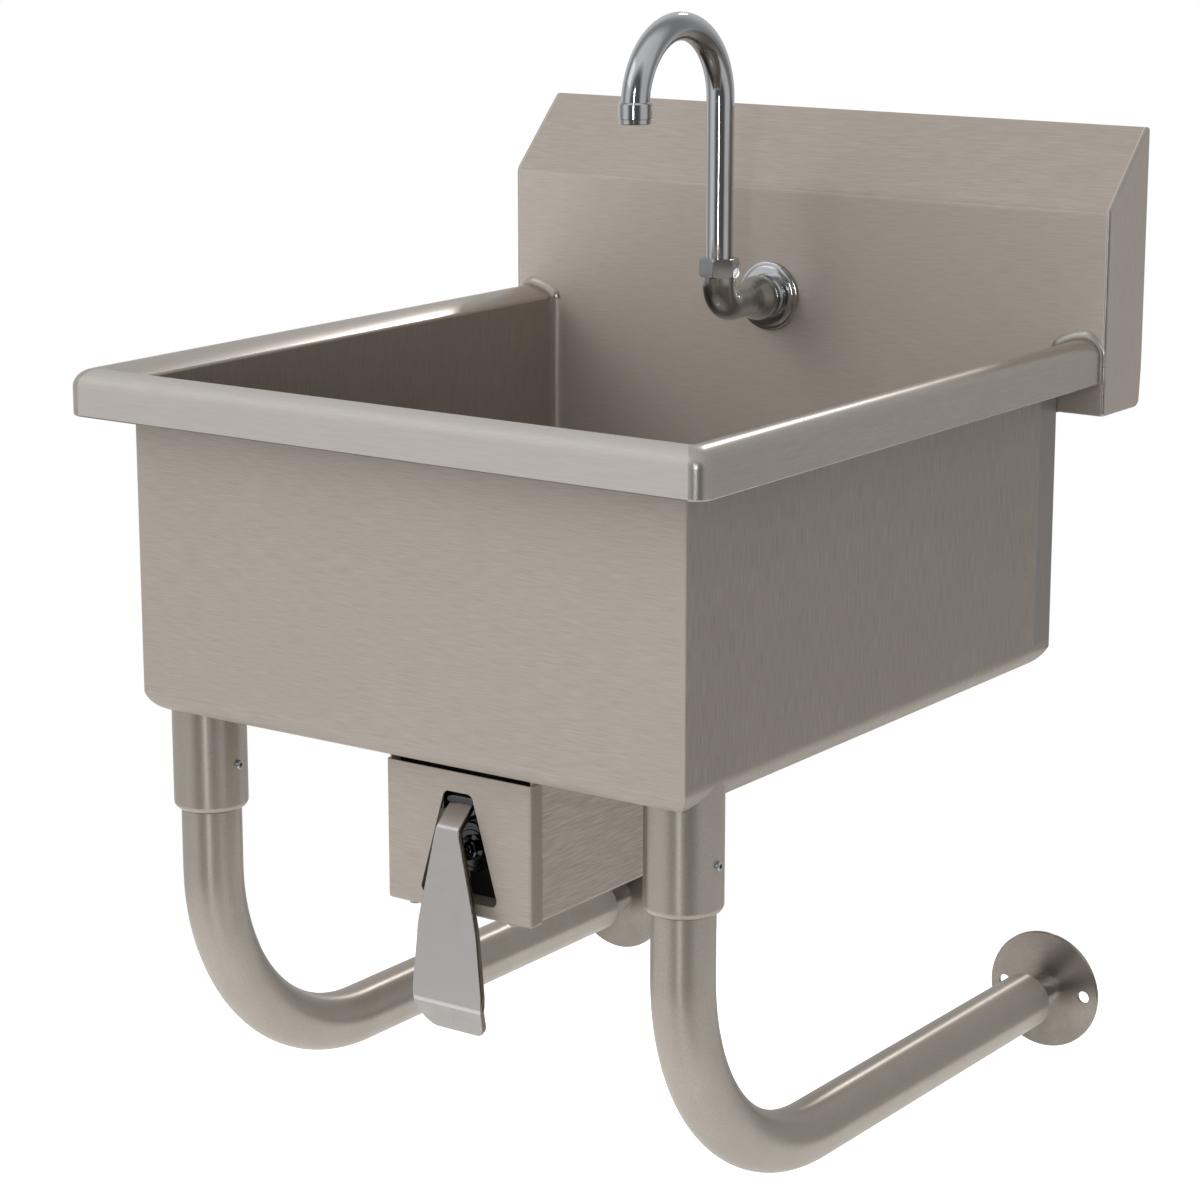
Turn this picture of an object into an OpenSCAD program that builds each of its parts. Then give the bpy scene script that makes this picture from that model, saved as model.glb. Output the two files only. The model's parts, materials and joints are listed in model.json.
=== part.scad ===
// Wall-hung stainless hand sink with a knee valve, a swivel gooseneck tap and two tubular legs.
// The wall is the plane y = 0, the front faces -y, and z = 0 is the crown of the rolled rim.

/* [Sheet] */
// Thickness of the stainless sheet
sheet_t = 1.5; // [1.2:0.1:2]
// Gap between pieces that are slipped together by hand
hand_gap = 0.3; // [0.3:0.1:0.6]
// Radial play of a pin or a shaft that turns in its bore
running_fit = 0.05; // [0.03:0.01:0.08]

/* [Bowl] */
// Width over the bowl walls
bowl_w = 440; // [400:1:470]
// Distance from the wall to the front of the bowl
bowl_front = 528; // [480:1:570]
// Depth from the rim crown to the underside of the bowl
bowl_depth = 236; // [200:1:270]
// Bend radius along the bottom of the front and the sides
bowl_bend_r = 19; // [12:1:24]
// Bend radius along the bottom of the rear wall
bowl_rear_bend_r = 32; // [24:1:40]
// Radius of the upright corners of the rear wall
bowl_corner_r = 9.5; // [6:0.5:16]

/* [Rolled rim] */
// How far the rim stands out beyond the bowl wall
rim_overhang = 31; // [27:1:34]
// Height of the rim from its lower edge to its crown
rim_h = 31; // [26:1:38]
// Radius of the roll at the outer edge
rim_roll_r = 12; // [9:0.5:14]
// How far the inner edge lies below the crown
rim_rise = 6; // [3:0.5:7]
// Radius of the bend from the bowl wall into the rim
rim_inner_r = 3; // [2.5:0.5:4]
// Width of the lip turned in under the rim
rim_return = 5; // [3:0.5:8]
// Plan radius of the two front corners
rim_corner_r = 10; // [6:0.5:14]

/* [Backsplash] */
// How far the backsplash stands out beyond the rim on each side
back_margin = 3; // [1:0.5:20]
// Distance from the wall to the face of the backsplash
back_d = 56; // [50:1:70]
// Height of the top edge above the rim crown
back_top = 143; // [125:1:180]
// Height of the bend where the face leans back to the wall
back_bend = 89; // [70:1:100]
// How far the lower edge hangs below the rim crown
back_drop = 54; // [45:1:70]
// Width of the flat ledge along the top
back_ledge = 3; // [2:0.5:6]
// Height of the lip turned down behind the top
back_lip = 24; // [16:1:30]
// Depth of the flange turned in along the bottom
back_return = 20; // [12:1:24]

/* [Wall bracket] */
// Width of the wall bracket
bracket_w = 360; // [330:1:420]
// Thickness of the wall bracket
bracket_t = 2; // [1.5:0.5:3]
// Distance of the bracket's lower edge below the rim crown
bracket_drop = 15; // [5:1:30]
// Height of the hook that stands in front of the lip
hook_h = 13; // [8:1:14]
// Distance between the bolt holes along the wall
bolt_spacing_x = 300; // [240:1:310]
// Distance between the bolt holes up the wall
bolt_spacing_z = 80; // [60:1:90]
// Height of the middle of the bolt pattern
bolt_mid_z = 50; // [40:1:55]
// Radius of the bolt holes
bolt_hole_r = 4; // [3:0.5:6]

/* [Drain] */
// Distance of the drain from the wall
drain_d = 291; // [260:1:310]
// Radius of the hole in the bowl
drain_hole_r = 45; // [44.5:0.5:48]
// Radius of the pressed recess round the drain
recess_r = 60; // [58:1:70]
// Depth of the pressed recess
recess_depth = 4; // [3:0.5:6]
// Radius of the drain flange
drain_flange_r = 55; // [52:1:57]
// Thickness of the drain flange
drain_flange_t = 2; // [1.5:0.5:3]
// Outside radius of the drain cup
cup_r = 43.5; // [40:0.5:44]
// Wall of the drain cup
cup_wall = 2.5; // [2:0.5:4]
// Depth of the drain cup
cup_depth = 50; // [40:1:60]
// Outside radius of the drain outlet
outlet_r = 24; // [18:0.5:26]
// Wall of the drain outlet
outlet_wall = 2; // [1.5:0.5:3]
// Length of the drain outlet below the cup
outlet_len = 26; // [21:1:30]
// Thickness of the rubber gasket
gasket_t = 3; // [2:0.5:4]
// Thickness of the fibre washer
fibre_t = 1.5; // [1:0.5:3]
// Height of the drain locknut
locknut_h = 10; // [6:1:14]
// Depth of the strainer basket
basket_depth = 34; // [24:1:40]

/* [Legs] */
// Distance of the leg's axis from the side of the bowl
leg_inset = 25.5; // [24:0.5:40]
// Distance of the leg's upright part behind the front of the bowl
leg_setback = 37; // [34:1:75]
// Outside radius of the leg tube
leg_r = 20.65; // [18:0.05:22]
// Wall of the leg tube
leg_wall = 1.65; // [1.2:0.05:2.5]
// Radius of the leg's bend, along the middle of the tube
leg_bend_r = 153; // [120:1:180]
// Length of straight tube between the sleeve and the bend
leg_straight = 44; // [10:1:80]
// Distance of the tube's end from the wall
leg_end_d = 34; // [28:1:45]
// Outside radius of the sleeve welded under the bowl
sleeve_r = 25.4; // [24.4:0.1:26]
// Length of the sleeve below the bowl
sleeve_len = 70; // [55:1:90]
// Radius of the sleeve's rolled lower edge
sleeve_edge_r = 4; // [1:0.5:4.5]
// Play of the tube in the sleeve, on the radius
sleeve_fit = 0.1; // [0.05:0.05:0.2]
// Distance of the set screw below the bowl
set_screw_drop = 37; // [20:1:45]
// Radius of the set screws
set_screw_r = 3; // [2:0.5:4]

/* [Wall flanges] */
// Radius of the flange that is bolted to the wall
foot_r = 44.45; // [42:0.05:50]
// Thickness of the flange
foot_t = 3; // [2:0.5:5]
// Radius of the threaded stem
foot_stem_r = 12.7; // [10:0.1:14]
// Distance between the two screw holes
foot_spacing = 66; // [58:1:72]
// Radius of the screw holes
foot_hole_r = 4.75; // [3:0.25:5]
// Length of the plug in the end of the tube
plug_len = 22; // [15:1:30]
// How far the foot can be screwed in or out
foot_travel = 10; // [5:1:12]

/* [Valve box] */
// Distance of the valve box to the right of the middle
box_x = 27; // [15:1:40]
// Width of the cover
cover_w = 117; // [110:1:140]
// Distance of the cover's face behind the front of the bowl
cover_setback = 26; // [24:0.5:28]
// Gap between the bowl and the top edge of the cover
cover_gap = 7; // [4:1:10]
// Height of the cover
cover_h = 95; // [92:1:110]
// Thickness of the cover and of the housing
box_t = 1.2; // [1:0.1:1.5]
// Depth of the cover's sides
cover_side = 10; // [8:1:14]
// Depth of the housing behind the cover
box_depth = 148; // [135:1:170]
// Width of the flanges that weld the housing to the bowl
box_flange = 12; // [8:1:16]
// Distance of the slot below the top of the cover
slot_gap = 13.5; // [11:0.5:14]
// Height of the slot
slot_h = 72.5; // [70:0.5:74]
// Width of the slot at its top
slot_top_w = 22; // [20:1:26]
// Width of the slot at its bottom
slot_bottom_w = 64; // [60:1:70]
// Corner radius of the slot
slot_r = 4.5; // [3:0.5:6]

/* [Knee pedal] */
// Distance of the hinge behind the face of the cover
hinge_back = 8; // [7:0.5:10]
// Distance of the hinge below the top of the cover
hinge_drop = 20; // [18:0.5:22]
// Radius of the hinge pin
hinge_r = 3; // [2.5:0.25:3.5]
// Radius of the hinge barrel
barrel_r = 5; // [4.5:0.25:6]
// Length of the hinge barrel
barrel_len = 24; // [20:1:26]
// Thickness of the pedal
pedal_t = 4.5; // [3.5:0.5:5]
// Distance of the pedal's face in front of the cover, at its top
pedal_out = 12; // [11.5:0.5:15]
// Distance of the pedal's upper bend below the hinge
pedal_bend_drop = 15; // [13:0.5:18]
// Distance of the crease below the hinge
pedal_crease_drop = 134; // [120:1:150]
// Distance of the pedal's tip below the hinge
pedal_tip_drop = 154; // [152:1:180]
// How far the blade leans out from its bend to its crease
pedal_lean = 2; // [0:0.5:4]
// How far the tip is kicked back to the wall
pedal_kick = 7; // [3:0.5:9]
// Width of the pedal's neck
pedal_neck_w = 19; // [16:1:20]
// Width of the pedal at its widest
pedal_w = 57.4; // [48:0.2:60]
// Radius of the rounder lower corner
pedal_round_r = 20; // [12:1:22]
// Radius of the tighter lower corner
pedal_tight_r = 9; // [4:1:12]
// Angle through which a knee pushes the pedal
pedal_swing = 6; // [4:0.5:6]

/* [Knee valve] */
// Distance of the valve below the hinge
valve_drop = 34; // [31:1:37]
// Radius of the valve body
valve_r = 19; // [17:0.5:21]
// Length of the valve body
valve_len = 66; // [60:1:75]
// Radius of the plunger's cap
plunger_cap_r = 7.5; // [6:0.5:8]
// Radius of the plunger's stem
plunger_r = 4; // [3:0.5:4.5]
// Radius of the bonnet nut between its lobes
bonnet_r = 15; // [13:0.5:15.5]
// Length of the bonnet nut
bonnet_len = 11; // [10:1:13]
// Wire radius of the return spring
spring_wire_r = 0.8; // [0.5:0.1:1]
// Number of turns in the return spring
spring_turns = 7; // [5:1:9]
// Radius of the threaded inlets
inlet_r = 10.4; // [9:0.1:11]
// Length of the threaded inlets
inlet_len = 14; // [10:1:18]
// Distance of the hot inlet to the right of the valve
hot_shift = 37; // [36:0.5:39]
// Distance of the cold inlet to the right of the valve
cold_shift = 15; // [13:0.5:16]
// Distance of the cold inlet below the valve's axis
cold_drop = 20; // [19:0.5:21]

/* [Supply tube] */
// Radius of the supply tube
supply_r = 4.75; // [4:0.25:5]
// Wall of the supply tube
supply_wall = 0.9; // [0.6:0.1:1.2]
// Distance of the outlet to the right of the valve
supply_x = 35; // [33:1:38]
// Distance of the outlet above the valve
supply_rise = 29; // [28:1:32]
// Distance of the tube's upright part from the wall
supply_d = 14; // [12:0.5:18]
// Bend radius of the tube
supply_bend_r = 20; // [15:1:28]

/* [Tap] */
// Distance of the tap to the left of the middle
tap_x = 22; // [0:1:40]
// Height of the tap above the rim crown
tap_z = 9; // [5:1:20]
// Radius of the hole for the tap
tap_hole_r = 11; // [10.5:0.25:12]
// Radius of the round wall plate
plate_r = 25.4; // [22:0.1:28]
// Thickness of the round wall plate
plate_t = 5; // [3:0.5:7]
// Radius of the threaded shank
shank_r = 10.4; // [9:0.1:10.4]
// Radius of the water way
water_r = 6; // [5:0.5:6.5]
// Distance of the spout's axis from the wall
spout_d = 124.4; // [118:0.2:140]
// Radius of the tap's elbow
elbow_r = 12; // [11.8:0.1:13]
// Bend radius of the tap's elbow
elbow_bend_r = 16; // [14:0.5:18]
// Largest radius of the tap's body
tap_bulb_r = 16.5; // [14:0.5:19]
// Height of the elbow's top above the tap's axis
elbow_rise = 21.6; // [19:0.2:28]
// Width across the flats of the spout nut
nut_af = 26; // [25.5:0.5:30]
// Height of the spout nut
nut_h = 13.9; // [12:0.1:18]
// Radius of the spout pipe
spout_r = 10; // [9:0.1:10]
// Wall of the spout pipe
spout_wall = 1.2; // [0.8:0.1:2]
// Height of the straight part of the spout above the tap's axis
spout_straight = 149; // [120:1:180]
// Bend radius of the gooseneck
spout_bend_r = 53.6; // [45:0.1:65]
// Length of the gooseneck's outlet below its bend
spout_outlet = 6.6; // [5:0.1:20]
// Radius of the aerator shell
aerator_r = 11.9; // [11.5:0.1:14]
// Height of the aerator shell
aerator_h = 15; // [12:0.5:20]

/* [Hidden] */

$fn = 64;
// How far a cutting shape runs past the surface that it cuts
over = 1;
// Points along each small sheet bend
bend_n = 4;

// Colours
steel = [0.66, 0.63, 0.60];
chrome = [0.80, 0.81, 0.83];
dark = [0.25, 0.25, 0.26];
brass = [0.74, 0.62, 0.34];
rubber = [0.12, 0.12, 0.12];
zinc = [0.62, 0.66, 0.70];

// Places that follow the bowl
back_w = bowl_w + 2 * (rim_overhang + back_margin);
leg_x = bowl_w / 2 - leg_inset;
leg_d = bowl_front - leg_setback;
cover_d = bowl_front - cover_setback;
leg_drop = bowl_depth + sleeve_len + leg_straight + leg_bend_r;

// Bowl and rim
back_face_y = -back_d;
join_z = -(rim_rise + rim_inner_r);
floor_z = -bowl_depth;
rim_reach = rim_overhang + sheet_t;

// Drain
recess_top_z = floor_z - recess_depth + sheet_t;
recess_low_z = floor_z - recess_depth;
cup_bore_r = cup_r - cup_wall;
cup_floor_z = recess_top_z - cup_depth;
outlet_low_z = cup_floor_z - outlet_len;
gasket_low_z = recess_low_z - gasket_t;
fibre_low_z = gasket_low_z - fibre_t;
thread_gap = 0.1;

// Legs
sleeve_bore_r = leg_r + sleeve_fit;
sleeve_low_z = floor_z - sleeve_len;
tube_top_gap = 4;
weld_gap = 0.02;
leg_top_z = floor_z - tube_top_gap;
// Length of the foot's thread that stays in the plug when the foot is screwed out all the way
thread_hold = 8;
foot_stem_len = leg_end_d + foot_travel + thread_hold;
leg_axis_z = -leg_drop;
leg_bore_r = leg_r - leg_wall;

// Valve box
cover_top_z = floor_z - cover_gap;
cover_low_z = cover_top_z - cover_h;
cover_y = -cover_d;
slip = 0.1;
box_half = cover_w / 2 - box_t - slip;
box_low_z = cover_low_z + box_t + slip;
box_floor_z = box_low_z + box_t;
housing_gap = 1.5;
box_front_y = cover_y + box_t + housing_gap;
box_rear_y = cover_y + box_depth;
slot_top_z = cover_top_z - slot_gap;

// Pedal and valve
hinge_y = cover_y + hinge_back;
hinge_z = cover_top_z - hinge_drop;
valve_z = hinge_z - valve_drop;
pedal_face_y = cover_y - pedal_out;
ear_gap = 0.2;
ear_t = 2.8;
ear_r = hinge_back - box_t - ear_gap;
plunger_tip_y = hinge_y;
// Room behind the plunger's cap, which has to be more than the cap's travel less the bonnet's recess
cap_gap = 3.5;
cap_t = 3.5;
cap_rear_y = plunger_tip_y + cap_t;
bonnet_y = cap_rear_y + cap_gap;
bonnet_rear_y = bonnet_y + bonnet_len;
nose_len = 4;
nose_r = bonnet_r - 3;
valve_rear_y = bonnet_rear_y + valve_len;
stem_reach = 14;
stem_rear_y = bonnet_rear_y + stem_reach;
stem_disc_t = 2;
chamber_y = stem_rear_y - stem_disc_t - hand_gap;
chamber_len = 34;
chamber_r = 7.5;
tube_in_valve = 6;
manifold_len = 20;
hot_x = box_x + hot_shift;
cold_x = box_x + cold_shift;
cold_z = valve_z - cold_drop;
supply_z = valve_z + supply_rise;

// Tap
shank_in_tap = 5;
shank_behind = 24;
shank_washer_t = 2;
shank_front_y = back_face_y - plate_t - shank_in_tap;
shank_rear_y = back_face_y + shank_behind;
plate_y = back_face_y - plate_t;
spout_axis_y = -spout_d;
elbow_top_z = tap_z + elbow_rise;
spigot_wall = 1.2;
spigot_r = spout_r + spigot_wall;
spigot_h = 7.4;
collar_r = spout_r + 1;
collar_t = 1.6;
seal_t = 2;
step_gap = 0.2;
socket_depth = 4;
socket_z = tap_z + elbow_bend_r - socket_depth;
pipe_low_z = socket_z + hand_gap;
spout_bend_z = tap_z + spout_straight;

// Direction of the line from point a to point b
function heading(a, b) = atan2(b[1] - a[1], b[0] - a[0]);

// Point i of a path, moved by t to the left of the way the path runs and mitred at its bends
function moved(path, i, t) =
    let (last = len(path) - 1,
         here = i == 0 ? heading(path[0], path[1]) : heading(path[i - 1], path[i]),
         next = i == last ? here : heading(path[i], path[max(1, i + 1)]),
         half = ((next - here + 540) % 360 - 180) / 2)
    [path[i][0] - t * sin(here + half) / cos(half),
     path[i][1] + t * cos(here + half) / cos(half)];

// Outline of a sheet of thickness t that lies to the left of a path
function sheet(path, t) =
    concat(path, [for (i = [len(path) - 1:-1:0]) moved(path, i, t)]);

// Points on an arc
function arc(centre, r, from, to, n) =
    [for (i = [0:n]) centre + r * [cos(from + (to - from) * i / n), sin(from + (to - from) * i / n)]];

// Points that round the corner b, between a and c, with radius r
function corner(a, b, c, r, n) =
    let (u = (a - b) / norm(a - b),
         w = (c - b) / norm(c - b),
         half = acos(u * w) / 2,
         centre = b + (u + w) / norm(u + w) * r / sin(half),
         from = heading(centre, b + u * r / tan(half)),
         to = heading(centre, b + w * r / tan(half)),
         sweep = (to - from + 540) % 360 - 180)
    arc(centre, r, from, from + sweep, n);

// A path with its corners rounded, where radii gives 0 for a corner that stays sharp
function eased(path, radii, n) =
    [for (i = [0:len(path) - 1])
        each radii[i] == 0 ? [path[i]] : corner(path[i - 1], path[i], path[i + 1], radii[i], n)];

// The sliver outside a round corner of a square whose corner is the origin
module corner_sliver(r) {
    difference() {
        translate([-over, -over]) square(r + over);
        translate([r, r]) circle(r);
    }
}

// Flat ring or disc round the z axis
module ring(outer, inner, h) {
    difference() {
        cylinder(r = outer, h = h);
        translate([0, 0, -over]) cylinder(r = inner, h = h + 2 * over);
    }
}

// Extrudes an outline drawn in x and z along y, from y = from to y = to
module along_y(from, to) {
    translate([0, to, 0]) rotate([90, 0, 0]) linear_extrude(to - from) children();
}

// Extrudes an outline drawn in y and z along x, from x = from to x = to
module along_x(from, to) {
    translate([from, 0, 0]) rotate([90, 0, 90]) linear_extrude(to - from) children();
}

// Turns a piece built along z so that it runs from the wall to the front
module to_front() {
    rotate([90, 0, 0]) children();
}

// A straight run of round bar along z, with the children at its end
module run(r, length) {
    cylinder(r = r, h = length);
    translate([0, 0, length]) children();
}

// A bend of round bar towards the direction side, with the children at its end
module bend(r, bend_r, angle, side) {
    rotate([0, 0, side]) {
        translate([bend_r, 0, 0]) rotate([90, 0, 180]) rotate_extrude(angle = angle)
            translate([bend_r, 0]) circle(r);
        translate([bend_r, 0, 0]) rotate([0, angle, 0]) translate([-bend_r, 0, 0])
            rotate([0, 0, -side]) children();
    }
}

// Block of the bowl, drawn in by e on every side but the top
module bowl_form(e, top) {
    rear_y = back_face_y + sheet_t - e;
    front_y = -bowl_front + e;
    half = bowl_w / 2 - e;
    low = floor_z + e;
    intersection() {
        along_y(front_y - over, rear_y + over) difference() {
            translate([-half, low]) square([2 * half, top - low]);
            translate([-half, low]) corner_sliver(bowl_bend_r - e);
            translate([half, low]) rotate(90) corner_sliver(bowl_bend_r - e);
        }
        along_x(-half - over, half + over) difference() {
            translate([front_y, low]) square([rear_y - front_y, top - low]);
            translate([front_y, low]) corner_sliver(bowl_bend_r - e);
            translate([rear_y, low]) rotate(90) corner_sliver(bowl_rear_bend_r - e);
        }
        translate([0, 0, low - over]) linear_extrude(top - low + 2 * over) difference() {
            translate([-half, front_y]) square([2 * half, rear_y - front_y]);
            translate([half, rear_y]) rotate(180) corner_sliver(bowl_corner_r - e);
            translate([-half, rear_y]) rotate(270) corner_sliver(bowl_corner_r - e);
        }
    }
}

module bowl() {
    color(steel) difference() {
        union() {
            bowl_form(0, -back_drop);
            translate([-bowl_w / 2, -bowl_front, -back_drop])
                cube([bowl_w, bowl_front - back_d, back_drop + join_z]);
            translate([0, -drain_d, recess_low_z])
                cylinder(r = recess_r + sheet_t, h = recess_depth + sheet_t / 2);
        }
        bowl_form(sheet_t, over);
        translate([0, -drain_d, recess_top_z]) cylinder(r = recess_r, h = recess_depth + over);
        translate([0, -drain_d, recess_low_z - over]) cylinder(r = drain_hole_r, h = recess_depth);
    }
}

// Section of the rim from the bowl wall outwards, drawn in by e
function rim_outline(e) =
    let (bend_at = [rim_inner_r, -rim_rise - rim_inner_r],
         roll_at = [rim_reach - rim_roll_r, -rim_roll_r],
         gap = roll_at - bend_at,
         lean = atan2(gap[1], gap[0]) + asin((rim_roll_r - rim_inner_r) / norm(gap)),
         low = -rim_h - (e > 0 ? over : 0))
    concat(arc(bend_at, rim_inner_r - e, 180, 90 + lean, 4),
           arc(roll_at, rim_roll_r - e, 90 + lean, 0, 12),
           [[rim_reach - e, low], [e, low]]);

// Plan of one mitred bar of the rim, seen from above
module rim_plan(points) {
    translate([0, 0, -rim_h - 2 * over]) linear_extrude(rim_h + 3 * over) polygon(points);
}

// Block of the rim, drawn in by e
module rim_block(e) {
    half = bowl_w / 2 - sheet_t;
    front = bowl_front - sheet_t;
    far = rim_reach + over;
    rear_y = back_face_y + (e > 0 ? over : 0);
    intersection() {
        union() {
            intersection() {
                along_x(-half - far, half + far)
                    mirror([1, 0]) translate([front, 0]) polygon(rim_outline(e));
                rim_plan([[-half, -front], [half, -front], [half + far, -front - far],
                          [-half - far, -front - far]]);
            }
            for (side = [0, 1]) mirror([side, 0, 0]) intersection() {
                along_y(-front - far, rear_y) translate([half, 0]) polygon(rim_outline(e));
                rim_plan([[half, -front], [half + far, -front - far], [half + far, over], [half, over]]);
            }
        }
        translate([0, 0, -rim_h - 2 * over]) linear_extrude(rim_h + 3 * over) difference() {
            translate([-half - rim_reach + e, -front - rim_reach + e])
                square([2 * (half + rim_reach - e), front + rim_reach]);
            translate([-half - rim_reach + e, -front - rim_reach + e]) corner_sliver(rim_corner_r - e);
            translate([half + rim_reach - e, -front - rim_reach + e])
                rotate(90) corner_sliver(rim_corner_r - e);
        }
    }
}

// Plate of the lip under the rim, drawn in by e and run past its rear end
module rim_lip(e, past, h) {
    half = bowl_w / 2 + rim_overhang - e;
    front = bowl_front + rim_overhang - e;
    linear_extrude(h) difference() {
        translate([-half, -front]) square([2 * half, front - back_d + past]);
        translate([-half, -front]) corner_sliver(rim_corner_r - min(e, rim_corner_r - 1));
        translate([half, -front]) rotate(90) corner_sliver(rim_corner_r - min(e, rim_corner_r - 1));
    }
}

module rolled_rim() {
    color(steel) {
        difference() {
            rim_block(0);
            rim_block(sheet_t);
            translate([-bowl_w / 2 - over / 2, -bowl_front - over / 2, -rim_h - over])
                cube([bowl_w + over, bowl_front, rim_h + over + join_z]);
        }
        translate([0, 0, -rim_h]) difference() {
            rim_lip(sheet_t / 2, 0, sheet_t);
            translate([0, 0, -over]) rim_lip(rim_return, over, sheet_t + 2 * over);
        }
    }
}

// Path of the backsplash's outside from the bottom flange to the lip behind the top
back_path = eased([[back_face_y + back_return, -back_drop], [back_face_y, -back_drop],
                   [back_face_y, back_bend], [-back_ledge, back_top], [0, back_top],
                   [0, back_top - back_lip]],
                  [0, 2 * sheet_t, 4, 0, 0, 0], bend_n);

module backsplash() {
    half = back_w / 2 - sheet_t;
    color(steel) difference() {
        along_x(-half, half) polygon(sheet(back_path, -sheet_t));
        translate([-tap_x, back_face_y + sheet_t + over, tap_z]) to_front()
            cylinder(r = tap_hole_r, h = sheet_t + 2 * over);
    }
}

// Plate that closes one end of the backsplash
module backsplash_end() {
    color(steel) along_x(back_w / 2 - sheet_t, back_w / 2)
        polygon(concat(back_path, [[0, -back_drop]]));
}

module backsplash_end_left() {
    mirror([1, 0, 0]) backsplash_end();
}

module backsplash_end_right() {
    backsplash_end();
}

module wall_bracket() {
    lip_z = back_top - back_lip;
    hook_y = -sheet_t - hand_gap;
    color(zinc) difference() {
        along_x(-bracket_w / 2, bracket_w / 2) polygon([
            [0, -bracket_drop], [0, lip_z], [hook_y, lip_z], [hook_y, lip_z + hook_h],
            [hook_y - bracket_t, lip_z + hook_h], [hook_y - bracket_t, lip_z - 4 * bracket_t],
            [-bracket_t, lip_z - 5 * bracket_t], [-bracket_t, -bracket_drop]]);
        for (x = [-1, 1], z = [-1, 1])
            translate([x * bolt_spacing_x / 2, over, bolt_mid_z + z * bolt_spacing_z / 2]) to_front()
                cylinder(r = bolt_hole_r, h = bracket_t + 2 * over);
    }
}

// Puts a piece of the drain on its axis
module at_drain(z) {
    translate([0, -drain_d, z]) children();
}

module drain_flange() {
    color(chrome) at_drain(0) difference() {
        union() {
            translate([0, 0, recess_top_z]) cylinder(r = drain_flange_r, h = drain_flange_t);
            translate([0, 0, cup_floor_z]) cylinder(r = cup_r, h = cup_depth + drain_flange_t / 2);
            translate([0, 0, outlet_low_z]) cylinder(r = outlet_r, h = outlet_len + over);
        }
        translate([0, 0, cup_floor_z + cup_wall])
            cylinder(r = cup_bore_r, h = cup_depth + drain_flange_t);
        translate([0, 0, outlet_low_z - over])
            cylinder(r = outlet_r - outlet_wall, h = outlet_len + cup_depth);
    }
}

module drain_gasket() {
    color(rubber) at_drain(gasket_low_z) ring(drain_flange_r - over, cup_r + thread_gap, gasket_t);
}

module drain_washer() {
    color(dark) at_drain(fibre_low_z) ring(drain_flange_r - over, cup_r + thread_gap, fibre_t);
}

module drain_locknut() {
    lugs = 6;
    color(chrome) at_drain(fibre_low_z - locknut_h) difference() {
        union() {
            cylinder(r = drain_flange_r - over, h = locknut_h);
            for (i = [0:lugs - 1]) rotate(i * 360 / lugs)
                translate([drain_flange_r - 3 * over, -4, 0]) cube([4, 8, locknut_h]);
        }
        translate([0, 0, -over]) cylinder(r = cup_r + thread_gap, h = locknut_h + 2 * over);
    }
}

// Basket that lifts out of the drain cup by its knob
module strainer_basket() {
    wall = 1;
    lift = hand_gap;
    basket_r = cup_bore_r - 0.4;
    low = cup_floor_z + cup_wall + lift;
    knob_r = 8;
    stem_r = 3;
    color(chrome) at_drain(low) {
        difference() {
            cylinder(r = basket_r, h = basket_depth);
            translate([0, 0, wall]) cylinder(r = basket_r - wall, h = basket_depth);
            for (row = [1:3], i = [0:row * 6 - 1]) rotate(i * 60 / row)
                translate([6 + row * 8.5, 0, -over]) cylinder(r = 2.4, h = wall + 2 * over);
        }
        cylinder(r = stem_r, h = basket_depth - 2 * over);
        translate([0, 0, basket_depth - 3]) cylinder(r = knob_r, h = 5);
    }
}

// Sleeve that is coped to the underside of the bowl and welded there
module leg_sleeve(side) {
    color(steel) difference() {
        translate([side * leg_x, -leg_d, 0]) rotate_extrude() polygon(concat(
            [[sleeve_bore_r, floor_z + bowl_bend_r / 2], [sleeve_bore_r, sleeve_low_z]],
            arc([sleeve_r - sleeve_edge_r, sleeve_low_z + sleeve_edge_r], sleeve_edge_r, -90, 0, 6),
            [[sleeve_r, floor_z + bowl_bend_r / 2]]));
        bowl_form(-weld_gap, 0);
        translate([side * leg_x, -leg_d, floor_z - set_screw_drop]) rotate([0, 90, 0])
            cylinder(r = set_screw_r + thread_gap, h = sleeve_r + over);
    }
}

module leg_sleeve_left() {
    leg_sleeve(-1);
}

module leg_sleeve_right() {
    leg_sleeve(1);
}

// Bar along the middle of a leg, from its top inside the sleeve to its end near the wall
module leg_bar(r, extra) {
    translate([0, 0, leg_top_z + extra]) rotate([180, 0, 0])
        run(r, leg_top_z + extra - leg_axis_z - leg_bend_r)
            bend(r, leg_bend_r, 90, -90)
                run(r, leg_d - leg_bend_r - leg_end_d + extra);
}

module leg_tube(side) {
    color(steel) translate([side * leg_x, -leg_d, 0]) difference() {
        leg_bar(leg_r, 0);
        leg_bar(leg_bore_r, over);
    }
}

module leg_tube_left() {
    leg_tube(-1);
}

module leg_tube_right() {
    leg_tube(1);
}

// Set screws that lock the tubes in their sleeves
module set_screws() {
    socket_r = set_screw_r * 0.5;
    head_t = 2;
    color(zinc) for (side = [-1, 1])
        translate([side * leg_x, -leg_d, floor_z - set_screw_drop]) rotate([0, 90, 0]) difference() {
            translate([0, 0, leg_r]) cylinder(r = set_screw_r, h = sleeve_r - leg_r + head_t);
            translate([0, 0, sleeve_r]) cylinder(r = socket_r, h = head_t + over, $fn = 6);
        }
}

// Plug with a thread for the foot, closed round the end of the tube by a thin lip
module leg_end_plug(side) {
    lip_t = 1.5;
    color(steel) translate([side * leg_x, -leg_end_d, leg_axis_z]) to_front() difference() {
        union() {
            cylinder(r = leg_bore_r - slip, h = plug_len);
            translate([0, 0, -lip_t]) cylinder(r = leg_r, h = lip_t);
        }
        translate([0, 0, -lip_t - over])
            cylinder(r = foot_stem_r + running_fit, h = plug_len + lip_t + 2 * over);
    }
}

module leg_end_plug_left() {
    leg_end_plug(-1);
}

module leg_end_plug_right() {
    leg_end_plug(1);
}

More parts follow.
